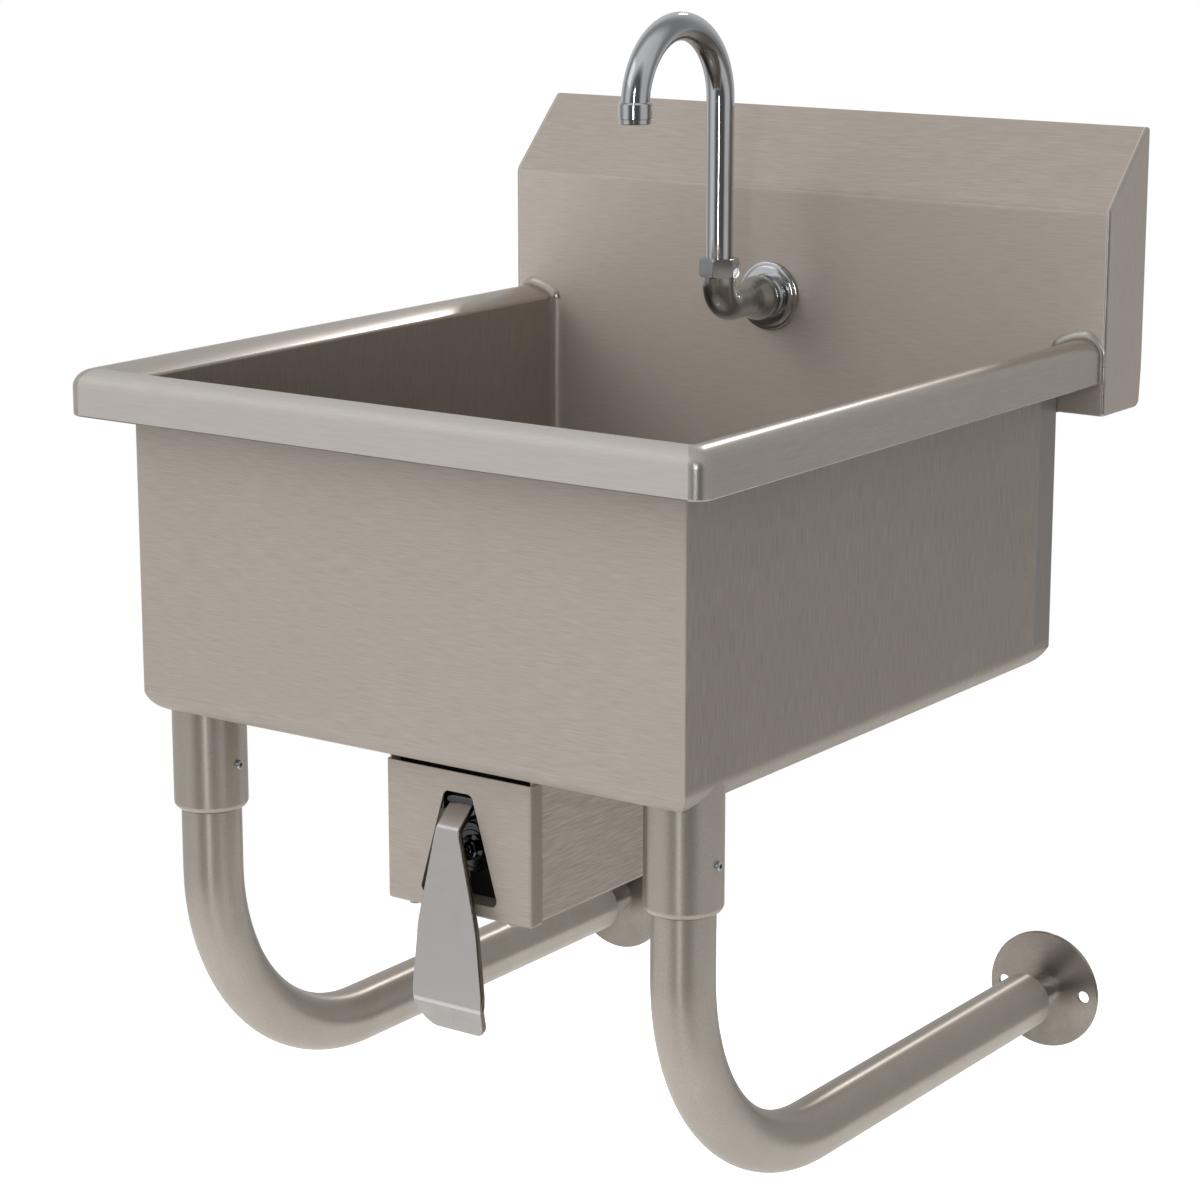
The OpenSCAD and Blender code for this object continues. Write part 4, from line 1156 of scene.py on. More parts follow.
@dataclass
class Basin:
    """The bowl and its rolled rim."""

    sheet: float = 1.5 * MM
    floor: float = -236 * MM
    rear_drop: float = -54 * MM
    bottom_bend: float = 19 * MM
    rear_bend: float = 32 * MM
    rear_corner: float = 9.5 * MM
    rear_band: float = 30 * MM
    front_edge: float = 1.6 * MM
    drain: Vector = fixed(0, -291 * MM, 0)
    recess_top: float = 63.5 * MM
    recess_foot: float = 57.5 * MM
    recess_depth: float = 4 * MM
    drain_hole: float = 45 * MM
    rim_inner_bend: float = 3 * MM
    rim_roll: float = 12 * MM
    rim_rise: float = 6 * MM
    rim_lip: float = 5 * MM
    crown: float = 11
    rim_corner: float = 10 * MM
    fillet: float = 6.5 * MM
    side_fillet: float = 2.9 * MM

    def __post_init__(self) -> None:
        """Reads the bowl's and the rim's places from the frame."""
        self.low, self.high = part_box("bowl")
        self.rim_low, self.rim_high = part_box("rolled_rim")
        self.inner_x = self.high.x - self.sheet
        self.inner_front = self.low.y + self.sheet
        self.face_y = self.rim_high.y
        self.rim_reach = self.rim_high.x - self.inner_x

    def form(self, name: str, inset: float, top: float) -> Piece:
        """The bowl's block, drawn in by an inset on every side but the top.

        Args:
            name: The block's name.
            inset: How far it is drawn in.
            top: Height of its top.

        Returns:
            The block, a closed solid.
        """
        x, front = self.high.x - inset, self.low.y + inset
        rear, low = self.high.y - inset, self.floor + inset
        bend, rear_bend = self.bottom_bend - inset, self.rear_bend - inset
        upright = max(self.front_edge - inset, 0.2 * MM)
        across = eased([(x, top), (-x, top), (-x, low), (x, low)], [0, 0, bend, bend], 14)
        along = eased([(rear, top), (front, top), (front, low), (rear, low)],
                      [0, 0, bend, rear_bend], 14)
        corner = self.rear_corner - inset
        plan = eased([(-x, front), (x, front), (x, rear), (-x, rear)],
                     [upright, upright, corner, corner], 10)
        block = Piece.prism(name, across, Y_AXIS, front - MM, rear + MM)
        block.common(Piece.prism("along", along, X_AXIS, -x - MM, x + MM),
                     Piece.prism("plan", plan, Z_AXIS, low - MM, top + MM))
        return block

    def build_bowl(self) -> None:
        """Makes the bowl as a thin shell that is open at its top and behind the rim."""
        bowl = self.form("bowl_shell", 0, self.high.z)
        strip_low = Vector((-self.high.x - MM, self.face_y, self.rear_drop))
        strip_high = Vector((self.high.x + MM, self.high.y + MM, self.high.z + MM))
        bowl.cut(self.form("inside", self.sheet, self.high.z + 5 * MM),
                 Piece.block("behind", strip_low, strip_high),
                 Piece.rod("hole", self.recess_top, self.floor - MM, self.floor + 3 * MM,
                           self.drain, Z_AXIS, 96))
        band_y = self.high.y - self.rear_band
        with editing(bowl.obj):
            bpy.ops.mesh.select_all(action="SELECT")
            bpy.ops.mesh.bisect(plane_co=(0, band_y, 0), plane_no=(0, 1, 0))
        bowl.smooth(28).dress(SHEET_X)
        # The sides take the upright grain and a lighter colour, which is painted light.
        bowl.dress(SHEET_Z_PAINTED_LIGHT, lambda face: abs(face.normal.x) > FACING)
        # The inner side walls are darker: painted shade inside the bowl.
        bowl.dress(SHEET_INSIDE_PAINTED_SHADE, lambda face: abs(face.normal.x) > FACING
                   and face.normal.x * face.center.x < 0.0)
        # The back wall inside the bowl is lighter: painted light.
        bowl.dress(SHEET_BACK_PAINTED_LIGHT, lambda face: face.normal.y < -FACING and face.center.y > band_y)
        bowl.dress(SHEET_REAR, lambda face: face.normal.x * face.center.x > 0.0
                   and abs(face.normal.x) > 0.05 and face.center.y > band_y
                   and face.center.z > self.floor + self.bottom_bend)
        bowl.mount("sink", "brushed_sheet", "bowl")

    def build_recess(self) -> None:
        """Makes the pressed ring round the drain, flush with the bowl's floor."""
        top, foot = self.floor + self.sheet, self.floor + self.sheet - self.recess_depth
        skin = eased([(self.recess_top, top), (self.recess_foot + MM, top),
                      (self.recess_foot - MM, foot), (self.drain_hole, foot)],
                     [0, 2 * MM, 2 * MM, 0], 6)
        recess = Piece.lathe("drain_recess", sheet_outline(skin, self.sheet), self.drain, Z_AXIS,
                             96, closed=True)
        recess.smooth().dress(SHEET_X).mount("sink", "brushed_sheet")

    def rim_skin(self) -> list[Flat]:
        """Outer line of the rim's section, as distance from the bowl and height.

        Returns:
            The line's points, from the bowl to the lip.
        """
        bend_at = Vector((self.rim_inner_bend, -self.rim_rise - self.rim_inner_bend))
        roll_at = Vector((self.rim_reach - self.rim_roll, -self.rim_roll))
        gap = roll_at - bend_at
        lean = math.degrees(math.atan2(gap.y, gap.x)
                            + math.asin((self.rim_roll - self.rim_inner_bend) / gap.length))
        low = self.rim_low.z
        hem = 1.6 * MM
        inner = arc(tuple(bend_at), self.rim_inner_bend, 180, 90 + lean + self.crown, 8)
        outer = arc(tuple(roll_at), self.rim_roll, 90 + lean - self.crown, 0, 22)
        a, b = Vector(inner[-1]), Vector(outer[0])
        side = Vector((a.y - b.y, b.x - a.x)).normalized()
        rise = (b - a).length * math.tan(math.radians(self.crown / 2)) / 2
        slope = [tuple(a.lerp(b, i / 8) + side * rise * (1 - (i / 4 - 1) ** 2))
                 for i in range(1, 8)]
        return (inner + slope + outer
                + arc((self.rim_reach - hem, low + hem), hem, 0, -90, 5)
                + [(self.rim_reach - self.rim_lip, low)])

    def corner_radius(self, distance: float) -> float:
        """Plan radius of the rim's front corner at a distance from the bowl's wall."""
        share = max(0.0, distance) / self.rim_reach
        return 0.6 * MM + (self.rim_corner - 0.6 * MM) * share ** 1.3

    def build_rim(self) -> None:
        """Makes the rim, which runs from the wall round both front corners and back."""
        outline = sheet_outline(self.rim_skin(), -self.sheet)

        def straight(side: int, y: float) -> list[Vector]:
            """The section across one side of the sink."""
            return [Vector((side * (self.inner_x + d), y, z)) for d, z in outline]

        def corner(side: int, angle: float) -> list[Vector]:
            """The section part of the way round one corner.

            Args:
                side: The side of the corner, -1 or 1.
                angle: How far round it the section lies, in radians.

            Returns:
                The section's points.
            """
            points = []
            for d, z in outline:
                r = self.corner_radius(d)
                x = self.inner_x + d - r + r * math.cos(angle)
                y = self.inner_front - d + r - r * math.sin(angle)
                points.append(Vector((side * x, y, z)))
            return points

        turns = [math.pi / 2 * i / 12 for i in range(13)]
        sections = [straight(-1, self.face_y)]
        sections += [corner(-1, angle) for angle in turns]
        sections += [corner(1, angle) for angle in reversed(turns)]
        sections += [straight(1, self.face_y)]
        rim = Piece.loft("rim_roll", sections)
        rim.smooth(50).dress(RIM_X)
        rim.dress(RIM_Y, lambda face: abs(face.center.x) > self.inner_x - MM
                  and face.center.y > self.inner_front)
        rim.dress(CORNER, lambda face: abs(face.center.x) > self.inner_x + 3 * MM
                  and face.center.y < self.inner_front - 3 * MM)
        # The front lip's underside is painted dark, as shade under the rim.
        low = self.rim_low.z + 1.5 * MM
        rim.dress(RIM_LIP_PAINTED_SHADE, lambda face: face.center.z < low and face.normal.z < -0.3
                  and abs(face.center.x) < self.inner_x)
        rim.mount("sink", "brushed_sheet", "rolled_rim")

    def build_fillet(self, side: Side) -> None:
        """Makes the polished weld between the rim, the bowl's wall and the backsplash.

        Args:
            side: The side on which it lies.
        """
        inside = [(0.0, self.rear_drop + 2 * MM), (0.0, -40 * MM), (0.0, -20 * MM)]
        skin = inside + self.rim_skin()[:-6] + [(self.rim_reach, self.rim_low.z + MM)]
        sections = []
        for i, (d, z) in enumerate(skin):
            before, after = skin[max(i - 1, 0)], skin[min(i + 1, len(skin) - 1)]
            angle = heading(before, after)
            away = (-math.sin(angle), math.cos(angle))
            outside = max(0.0, (d - self.rim_reach + self.rim_roll) / self.rim_roll)
            r = self.fillet + (self.side_fillet - self.fillet) * min(1.0, 1.4 * outside)
            if d == 0.0:
                r = self.side_fillet
            sunk = 0.5 * MM
            profile = [(r * (1 - math.cos(t)), r * (1 - math.sin(t)))
                       for t in [math.pi / 2 * j / 8 for j in range(9)]]
            profile += [(r, -sunk), (-sunk, -sunk), (-sunk, r)]
            sections.append([Vector((side.value * (self.inner_x + d + away[0] * u),
                                     self.face_y - v, z + away[1] * u)) for u, v in profile])
        fillet = Piece.loft(f"weld_fillet_{side.word}", sections)
        fillet.smooth(60).dress(BLEND).mount("sink", "brushed_sheet")

    def build_seam(self) -> None:
        """Fills the groove under the backsplash, so that it runs on into the bowl."""
        half = self.inner_x - 0.4 * MM
        seam = Piece.block("rear_seam", Vector((-half, self.face_y, self.rear_drop)),
                           Vector((half, self.face_y + self.sheet, self.rear_drop + 2 * MM)))
        # Painted light, like the back wall and the backsplash's face.
        seam.dress(SHEET_BACK_PAINTED_LIGHT).mount("sink", "brushed_sheet")

    def build(self) -> None:
        """Makes every piece of the basin."""
        self.build_bowl()
        self.build_recess()
        self.build_rim()
        self.build_seam()
        for side in Side:
            self.build_fillet(side)


@dataclass
class Backsplash:
    """The backsplash, its two end plates and the bracket behind it."""

    sheet: float = 1.5 * MM
    ledge: float = 3 * MM
    lip: float = 24 * MM
    slope_foot: float = 89 * MM
    bottom_return: float = 20 * MM
    face_bend: float = 9 * MM
    edge_bend: float = 2 * MM
    end_depth: float = 3 * MM
    end_round: float = 2.4 * MM
    end_corner: float = 6 * MM
    tap_hole: float = 11 * MM
    tap: Vector = fixed(-22 * MM, 0, 9 * MM)

    def __post_init__(self) -> None:
        """Reads the backsplash's place from the frame."""
        self.low, self.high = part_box("backsplash")
        self.end_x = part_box("backsplash_end_right")[1].x
        self.path = [(self.low.y + self.bottom_return, self.low.z), (self.low.y, self.low.z),
                     (self.low.y, self.slope_foot), (-self.ledge, self.high.z),
                     (0.0, self.high.z), (0.0, self.high.z - self.lip)]

    def build_face(self) -> None:
        """Makes the folded sheet with the hole for the tap."""
        skin = eased(self.path, [0, self.edge_bend, self.face_bend, MM, MM, 0], 10)
        half = self.end_x - self.end_depth
        face = Piece.prism("backsplash_sheet", sheet_outline(skin, -self.sheet), X_AXIS,
                           -half, half)
        front = self.low.y
        face.cut(Piece.rod("tap_hole", self.tap_hole, -5 * MM, 5 * MM,
                           Vector((self.tap.x, front, self.tap.z)), Y_AXIS))
        face.smooth(30).dress(SHEET_X)
        # The front face shares the back wall's lighter colour, which is painted light.
        face.dress(SHEET_BACK_PAINTED_LIGHT, lambda part: part.normal.y < -0.95)
        face.mount("sink", "brushed_sheet", "backsplash")

    def build_end(self, side: Side) -> None:
        """Makes one end plate with a rounded, blended edge.

        Args:
            side: The plate's side.
        """
        corners = self.path[1:5] + [(0.0, self.low.z)]
        outline = eased(corners, [2.6 * MM, self.face_bend, 0, 0, self.end_corner], 10)
        inner, outer = side.value * (self.end_x - self.end_depth), side.value * self.end_x
        plate = Piece.prism(f"end_plate_{side.word}", outline, X_AXIS, inner, outer)
        plate.bevel(self.end_round, 5, lambda edge: all(
            abs(v.co.x - outer) < 10 * TINY for v in edge.verts)
            and min(v.co.y for v in edge.verts) < -10 * TINY)
        # The plate's lighter colour is painted light; its rounded edge is blended steel.
        plate.smooth(40).dress(END_PLATE_PAINTED_LIGHT)
        plate.dress(BLEND, lambda face: 0.12 < abs(face.normal.x) < 0.97)
        plate.mount("sink", "brushed_sheet", f"backsplash_end_{side.word}")

    def build(self) -> None:
        """Makes every piece of the backsplash."""
        self.build_face()
        for side in Side:
            self.build_end(side)
        bracket = Piece.from_node("hanging_bracket", "wall_bracket")
        bracket.soften(0.4 * MM, 2).smooth().dress(ZINC)
        bracket.mount("sink", "zinc_plate", "wall_bracket")


# ---------------------------------------------------------------------------------------
# Drain
# ---------------------------------------------------------------------------------------


@dataclass
class Drain:
    """The drain's cup with its flange and nut, and the basket that lifts out."""

    axis: Vector = fixed(0, -291 * MM, 0)
    flange: float = 55 * MM
    cup: float = 43.5 * MM
    wall: float = 2.5 * MM
    outlet: float = 24 * MM
    outlet_wall: float = 2 * MM

    def __post_init__(self) -> None:
        """Reads the drain's heights from the frame."""
        low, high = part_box("drain_flange")
        self.low, self.top = low.z, high.z
        self.cup_floor = self.low + 26 * MM

    def build_cup(self) -> None:
        """Makes the polished cup with its flange and its threaded outlet."""
        bore = self.cup - self.wall
        outline = eased(
            [(self.outlet - self.outlet_wall, self.low), (self.outlet, self.low),
             (self.outlet, self.cup_floor), (self.cup, self.cup_floor),
             (self.cup, self.top - 2 * MM), (self.flange, self.top - 2 * MM),
             (self.flange, self.top), (bore, self.top), (bore, self.cup_floor + self.wall),
             (self.outlet - self.outlet_wall, self.cup_floor + self.wall)],
            [0, 0.5 * MM, MM, 3 * MM, 0.5 * MM, 0, 1.6 * MM, 2 * MM, 4 * MM, MM], 5)
        cup = Piece.lathe("drain_cup", outline, self.axis, Z_AXIS, 96, closed=True)
        cup.smooth(45).dress(CHROME).mount("sink", "polished_steel", "drain_flange")

    def build(self) -> None:
        """Makes every piece of the drain."""
        self.build_cup()
        nut = Piece.from_node("drain_nut", "drain_locknut")
        nut.soften(0.5 * MM, 2).smooth().dress(ZINC).mount("sink", "zinc_plate", "drain_locknut")
        basket = Piece.from_node("strainer", "strainer_basket")
        basket.soften(0.35 * MM, 2, 50).smooth().dress(CHROME)
        basket.mount("strainer", "polished_steel", "strainer_basket")
        dress_node("drain_gasket", RUBBER)
        dress_node("drain_washer", FIBRE)


# ---------------------------------------------------------------------------------------
# Legs
# ---------------------------------------------------------------------------------------


@dataclass
class Leg:
    """One tubular leg with its sleeve, its set screw and its foot on the wall."""

    side: Side
    basin: Basin
    x: float = 194.5 * MM
    y: float = -491 * MM
    tube: float = 20.65 * MM
    tube_wall: float = 1.65 * MM
    bend: float = 153 * MM
    level: float = -503 * MM
    end_y: float = -34 * MM
    sleeve: float = 25.4 * MM
    sleeve_top: float = -220 * MM
    sleeve_low: float = -306 * MM
    tube_top: float = -240 * MM
    sleeve_edge: float = 5 * MM
    screw: float = 3 * MM
    screw_socket: float = 1.6 * MM
    screw_z: float = -273 * MM
    foot: float = 44.45 * MM
    foot_depth: float = 3 * MM
    stem: float = 12.7 * MM
    hole: float = 4.75 * MM
    hole_spacing: float = 66 * MM

    def __post_init__(self) -> None:
        """Puts the leg on its side."""
        self.x *= self.side.value

    def build_sleeve(self) -> None:
        """Makes the sleeve, coped to the bowl's rounded underside."""
        bore = self.tube + 0.1 * MM
        outline = eased([(bore, self.sleeve_top), (bore, self.sleeve_low),
                         (self.sleeve, self.sleeve_low), (self.sleeve, self.sleeve_top)],
                        [0, MM, self.sleeve_edge, 0], 8)
        sleeve = Piece.lathe(f"sleeve_{self.side.word}", outline, Vector((self.x, self.y, 0)),
                             Z_AXIS, 96, closed=True)
        sleeve.cut(self.basin.form("bowl_form", 0, self.sleeve_top + 20 * MM))
        sleeve.smooth(40).dress(TUBE)
        sleeve.mount("sink", "brushed_tube", f"leg_sleeve_{self.side.word}")

    def route(self) -> Route:
        """Middle line of the tube, from inside the sleeve to its end at the wall.

        Returns:
            The line.
        """
        line = Route(Vector((self.x, self.y, self.tube_top)), -Z_AXIS, X_AXIS)
        line.run(self.tube_top - self.level - self.bend, 4).bend(self.bend, 90, Y_AXIS, 40)
        return line.run(self.end_y - self.y - self.bend, 4)

    def build_tube(self) -> None:
        """Makes the bent tube."""
        tube = Piece.loft(f"tube_{self.side.word}", self.route().rings(self.tube, 64))
        tube.remove_faces(lambda face: len(face.verts) > 8)
        tube.modify("SOLIDIFY", thickness=self.tube_wall, offset=-1, use_even_offset=True)
        tube.smooth(40).dress(TUBE)
        tube.mount("sink", "brushed_tube", f"leg_tube_{self.side.word}")

    def build_foot(self) -> None:
        """Makes the turned flange with its two screw holes and its threaded stem."""
        pitch, depth = 1.8 * MM, 1.0 * MM
        turns = 26
        thread = [(self.stem - (depth if i % 2 else 0), self.foot_depth + pitch * (i / 2 + 1))
                  for i in range(2 * turns)]
        edge = 0.7 * MM
        outline = ([(0, 0), (self.foot - edge, 0), (self.foot, edge),
                    (self.foot, self.foot_depth - edge), (self.foot - edge, self.foot_depth),
                    (self.stem + 2.5 * MM, self.foot_depth),
                    (self.stem + 0.4 * MM, self.foot_depth + 0.6 * MM)]
                   + thread + [(0, thread[-1][1])])
        foot = Piece.lathe(f"foot_{self.side.word}", outline, Vector((self.x, 0, self.level)),
                           -Y_AXIS, 96)
        for way in (-1, 1):
            place = Vector((self.x + way * self.hole_spacing / 2, 0, self.level))
            foot.cut(Piece.rod("screw_hole", self.hole, -MM, 5 * MM, place, -Y_AXIS, 32))
        foot.smooth(35).dress(FLANGE_STEEL)
        foot.mount(f"foot_{self.side.word}", "turned_steel", f"wall_flange_{self.side.word}")

    def build_plug(self) -> None:
        """Makes the plug whose lip closes the tube's end."""
        bore, lip = self.stem + 0.1 * MM, 1.5 * MM
        inside = self.tube - self.tube_wall - 0.1 * MM
        outline = eased([(bore, -lip), (self.tube, -lip), (self.tube, 0), (inside, 0),
                         (inside, 22 * MM), (bore, 22 * MM)],
                        [0, 0.6 * MM, 0, 0, MM, 0], 4)
        plug = Piece.lathe(f"end_plug_{self.side.word}", outline,
                           Vector((self.x, self.end_y, self.level)), -Y_AXIS, 64, closed=True)
        plug.smooth().dress(TUBE)
        plug.mount("sink", "brushed_tube", f"leg_end_plug_{self.side.word}")

    def build_screw(self) -> Piece:
        """Makes the set screw with its hexagonal socket, facing right.

        Returns:
            The screw, which is not on a body yet.
        """
        start, head = self.tube, 2 * MM
        tip = self.sleeve - start + head
        outline = [(0, 0), (self.screw, 0), (self.screw, tip - 0.6 * MM),
                   (self.screw - 0.6 * MM, tip), (0, tip)]
        place = Vector((self.x + start, self.y, self.screw_z))
        screw = Piece.lathe(f"set_screw_{self.side.word}", outline, place, X_AXIS, 32)
        socket = Piece.rod("socket", self.screw_socket, tip - 2 * MM, tip + MM, place, X_AXIS, 6)
        screw.cut(socket).smooth().dress(ZINC)
        return screw

    def build(self) -> None:
        """Makes every piece of the leg."""
        self.build_sleeve()
        self.build_tube()
        self.build_foot()
        self.build_plug()
        replaced = ("set_screws",) if self.side is Side.LEFT else ()
        self.build_screw().mount("sink", "zinc_plate", *replaced)


def dress_node(node: str, finish: Finish) -> None:
    """Gives a node that stays in view a finish of its own.

    Args:
        node: The node.
        finish: The finish.
    """
    materials = frame["nodes"][node].data.materials
    materials.clear()
    materials.append(finish.material())
    LOG.info("%s keeps its own mesh", node)


# ---------------------------------------------------------------------------------------
# Knee valve
# ---------------------------------------------------------------------------------------


@dataclass
class ValveBox:
    """The housing under the bowl and its slotted cover."""

    middle: float = 27 * MM
    steel: float = 1.2 * MM
    bend: float = 2.5 * MM
    slot_drop: float = 13.5 * MM
    slot_height: float = 72.5 * MM
    slot_top: float = 22 * MM
    slot_bottom: float = 64 * MM
    slot_round: float = 4.5 * MM
    flange: float = 12 * MM
    cover_depth: float = 10 * MM
    baffle: float = 11 * MM

    def __post_init__(self) -> None:
        """Reads the places of the cover and the housing from the frame."""
        self.low, self.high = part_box("valve_cover")
        self.box_low, self.box_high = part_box("valve_housing")

    def build_cover(self) -> None:
        """Makes the cover as a shallow tray with its slot."""
        cover = Piece.block("cover", self.low, self.high)
        front, bottom = self.low.y, self.low.z
        cover.bevel(self.bend, 6, lambda edge: (
            all(abs(v.co.y - front) < TINY for v in edge.verts)
            and min(v.co.z for v in edge.verts) < bottom + TINY)
            or all(abs(v.co.z - bottom) < TINY for v in edge.verts)
            and abs(edge.verts[0].co.x - edge.verts[1].co.x) < TINY)
        cover.remove_faces(lambda face: face.normal.z > 0.9 or face.normal.y > 0.9)
        cover.modify("SOLIDIFY", thickness=self.steel, offset=-1, use_even_offset=True)
        top = self.high.z - self.slot_drop
        half_top, half_low = self.slot_top / 2, self.slot_bottom / 2
        slot = eased([(self.middle - half_top, top), (self.middle + half_top, top),
                      (self.middle + half_low, top - self.slot_height),
                      (self.middle - half_low, top - self.slot_height)],
                     [self.slot_round] * 4, 8)
        cover.cut(Piece.prism("slot", slot, Y_AXIS, front - MM, front + 3 * MM))
        cover.soften(0.25 * MM, 2, 50).smooth(30).dress(SHEET_X)
        cover.mount("sink", "brushed_sheet", "valve_cover")

    def build_housing(self) -> None:
        """Makes the folded housing with its welding flanges."""
        x, top, low = self.box_high.x - self.middle, self.box_high.z, self.box_low.z
        path = [(self.middle + a, b) for a, b in (
            (self.flange - x, top), (-x, top), (-x, low), (x, low), (x, top),
            (x - self.flange, top))]
        skin = eased(path, [0, 1.5 * MM, self.bend, self.bend, 1.5 * MM, 0], 8)
        housing = Piece.prism("housing", sheet_outline(skin, self.steel), Y_AXIS,
                              self.box_low.y, self.box_high.y)
        # The housing's lighter colour is painted light.
        housing.smooth(30).dress(SHEET_Y_PAINTED_LIGHT)
        housing.mount("sink", "brushed_sheet", "valve_housing")

    def build_baffle(self) -> None:
        """Makes a fold painted dark behind the gap between the cover and the bowl, as painted
        shade.
        """
        half = self.box_high.x - self.middle - self.steel - 0.2 * MM
        front = self.low.y + self.cover_depth + 1.5 * MM
        outline = sheet_outline([(front + 8 * MM, self.box_high.z - 0.2 * MM),
                                 (front, self.box_high.z - 0.2 * MM),
                                 (front, self.box_high.z - self.baffle)], self.steel)
        baffle = Piece.prism("housing_baffle", outline, X_AXIS, self.middle - half,
                             self.middle + half)
        # The fold's near-black colour is painted shade in the gap.
        baffle.smooth(30).dress(DARK_CAST_AND_PAINTED_SHADE).mount("sink", "brushed_sheet")

    def build(self) -> None:
        """Makes every piece of the valve box."""
        self.build_cover()
        self.build_housing()
        self.build_baffle()
        for node, name in (("cover_screws", "cover_screw_pair"),
                           ("valve_screws", "valve_screw_pair")):
            screws = Piece.from_node(name, node)
            screws.soften(0.25 * MM, 2, 50).smooth().dress(ZINC)
            screws.mount("sink", "zinc_plate", node)


@dataclass
class KneePedal:
    """The pedal with its hinge, and the plunger that it pushes."""

    middle: float = 27 * MM
    hinge: Vector = fixed(27 * MM, -494 * MM, -263 * MM)
    face_y: float = -514 * MM
    thickness: float = 4.5 * MM
    edge: float = 1.3 * MM
    width: float = 57.4 * MM
    neck: float = 19 * MM
    bend_drop: float = 15 * MM
    crease_drop: float = 134 * MM
    tip_drop: float = 154 * MM
    lean: float = 2 * MM
    kick: float = 7 * MM
    round_corner: float = 20 * MM
    tight_corner: float = 9 * MM
    barrel: float = 5 * MM
    barrel_length: float = 24 * MM
    boss: float = 6 * MM
    valve_drop: float = 34 * MM

    def side_path(self) -> list[Flat]:
        """Front face of the pedal, in y and z, from the hinge down to the tip.

        Returns:
            The face's points in order.
        """
        y, z = self.hinge.y, self.hinge.z
        path = [(y - 1.5 * MM, z + 1.7 * MM), (self.face_y, z - self.bend_drop),
                (self.face_y - self.lean, z - self.crease_drop),
                (self.face_y - self.lean + self.kick, z - self.tip_drop)]
        return eased(path, [0, 6 * MM, 12 * MM, 0], 8)

    def half_outline(self, side: int) -> list[Flat]:
        """Depth below the hinge and half width of one edge of the pedal.

        Args:
            side: The edge, -1 for the left one and 1 for the right one.

        Returns:
            The edge's points, from the neck to the tip.
        """
        corner = self.round_corner if side < 0 else self.tight_corner
        tip = self.width * (0.46 if side < 0 else 0.44)
        path = [(self.neck / 2, 5 * MM), (self.neck / 2, -self.bend_drop),
                (self.width * 0.42, -self.crease_drop * 0.61),
                (self.width / 2, -self.crease_drop * 0.95), (tip, -self.tip_drop),
                (0.0, -self.tip_drop)]
        return [(-z, x) for x, z in eased(path, [0, 20 * MM, 90 * MM, 60 * MM, corner, 0], 14)]

    def stations(self) -> list[tuple[Vector, Vector]]:
        """Points and outward normals along the pedal's face, close together at its tip.

        Returns:
            A point and a normal for each station, from the hinge down.
        """
        path = self.side_path()
        points: list[Flat] = []
        for a, b in zip(path, path[1:]):
            length = (Vector(b) - Vector(a)).length
            low = b[1] < self.hinge.z - self.tip_drop + 24 * MM
            steps = max(1, round(length / ((0.7 if low else 3.0) * MM)))
            points += [tuple(Vector(a).lerp(Vector(b), i / steps)) for i in range(steps)]
        points.append(path[-1])
        found = []
        for i, (y, z) in enumerate(points):
            before, after = points[max(i - 1, 0)], points[min(i + 1, len(points) - 1)]
            angle = heading(before, after)
            found.append((Vector((0, y, z)), Vector((0, math.sin(angle), -math.cos(angle)))))
        return found

    def build_blade(self) -> None:
        """Makes the polished blade from its neck to its kicked tip."""
        edges = [self.half_outline(side) for side in (-1, 1)]
        sections = []
        places = self.stations()
        for i, (point, away) in enumerate(places):
            drop = min(self.hinge.z - point.z, self.tip_drop - 0.02 * MM)
            left, right = (looked_up(edge, drop) for edge in edges)
            rest = len(places) - 1 - i
            shy = {0: 1.0, 1: 0.45, 2: 0.12}.get(rest, 0.0) * self.edge
            t, e = self.thickness, self.edge
            corners = [(-left, -shy), (right, -shy), (right, shy - t), (-left, shy - t)]
            loop = eased(corners, [e] * 4, 3)
            sections.append([point + Vector((self.middle + x, 0, 0)) + away * depth
                             for x, depth in loop])
        blade = Piece.loft("pedal_blade", sections)
        blade.smooth(50).dress(PEDAL_STEEL)
        crease = self.hinge.z - self.crease_drop - MM
        # Below the crease the tip is darker: painted shade where it faces down.
        blade.dress(PEDAL_TIP_PAINTED_SHADE, lambda face: face.center.z < crease)
        # Faces turned to the right are painted dark as shade.
        blade.dress(PEDAL_EDGE_PAINTED_SHADE, lambda face: face.normal.x > 0.55)
        blade.mount("pedal", "polished_chrome", "knee_pedal")

    def build_barrel(self) -> None:
        """Makes the hinge's barrel and the boss that meets the plunger."""
        half, bore = self.barrel_length / 2, 3.05 * MM
        outline = [(bore, -half), (self.barrel - 0.5 * MM, -half), (self.barrel, 0.5 * MM - half),
                   (self.barrel, half - 0.5 * MM), (self.barrel - 0.5 * MM, half), (bore, half)]
        barrel = Piece.lathe("pedal_barrel", outline, self.hinge, X_AXIS, 48, closed=True)
        barrel.smooth(40).dress(DARK_CHROME).mount("pedal", "dark_chrome")
        tip_y = self.hinge.y - 0.3 * MM
        base = Vector((self.middle, tip_y - self.boss, self.hinge.z - self.valve_drop))
        length = tip_y - self.boss - self.face_y - self.thickness / 2
        boss = arc((0.0, 0.0), self.boss, 90, 0, 12) + [(self.boss, -length), (0, -length)]
        knob = Piece.lathe("pedal_boss", boss, base, Y_AXIS, 40)
        knob.smooth(40).dress(DARK_CHROME).mount("pedal", "dark_chrome")

    def build(self) -> None:
        """Makes every moving piece of the pedal."""
        self.build_blade()
        self.build_barrel()


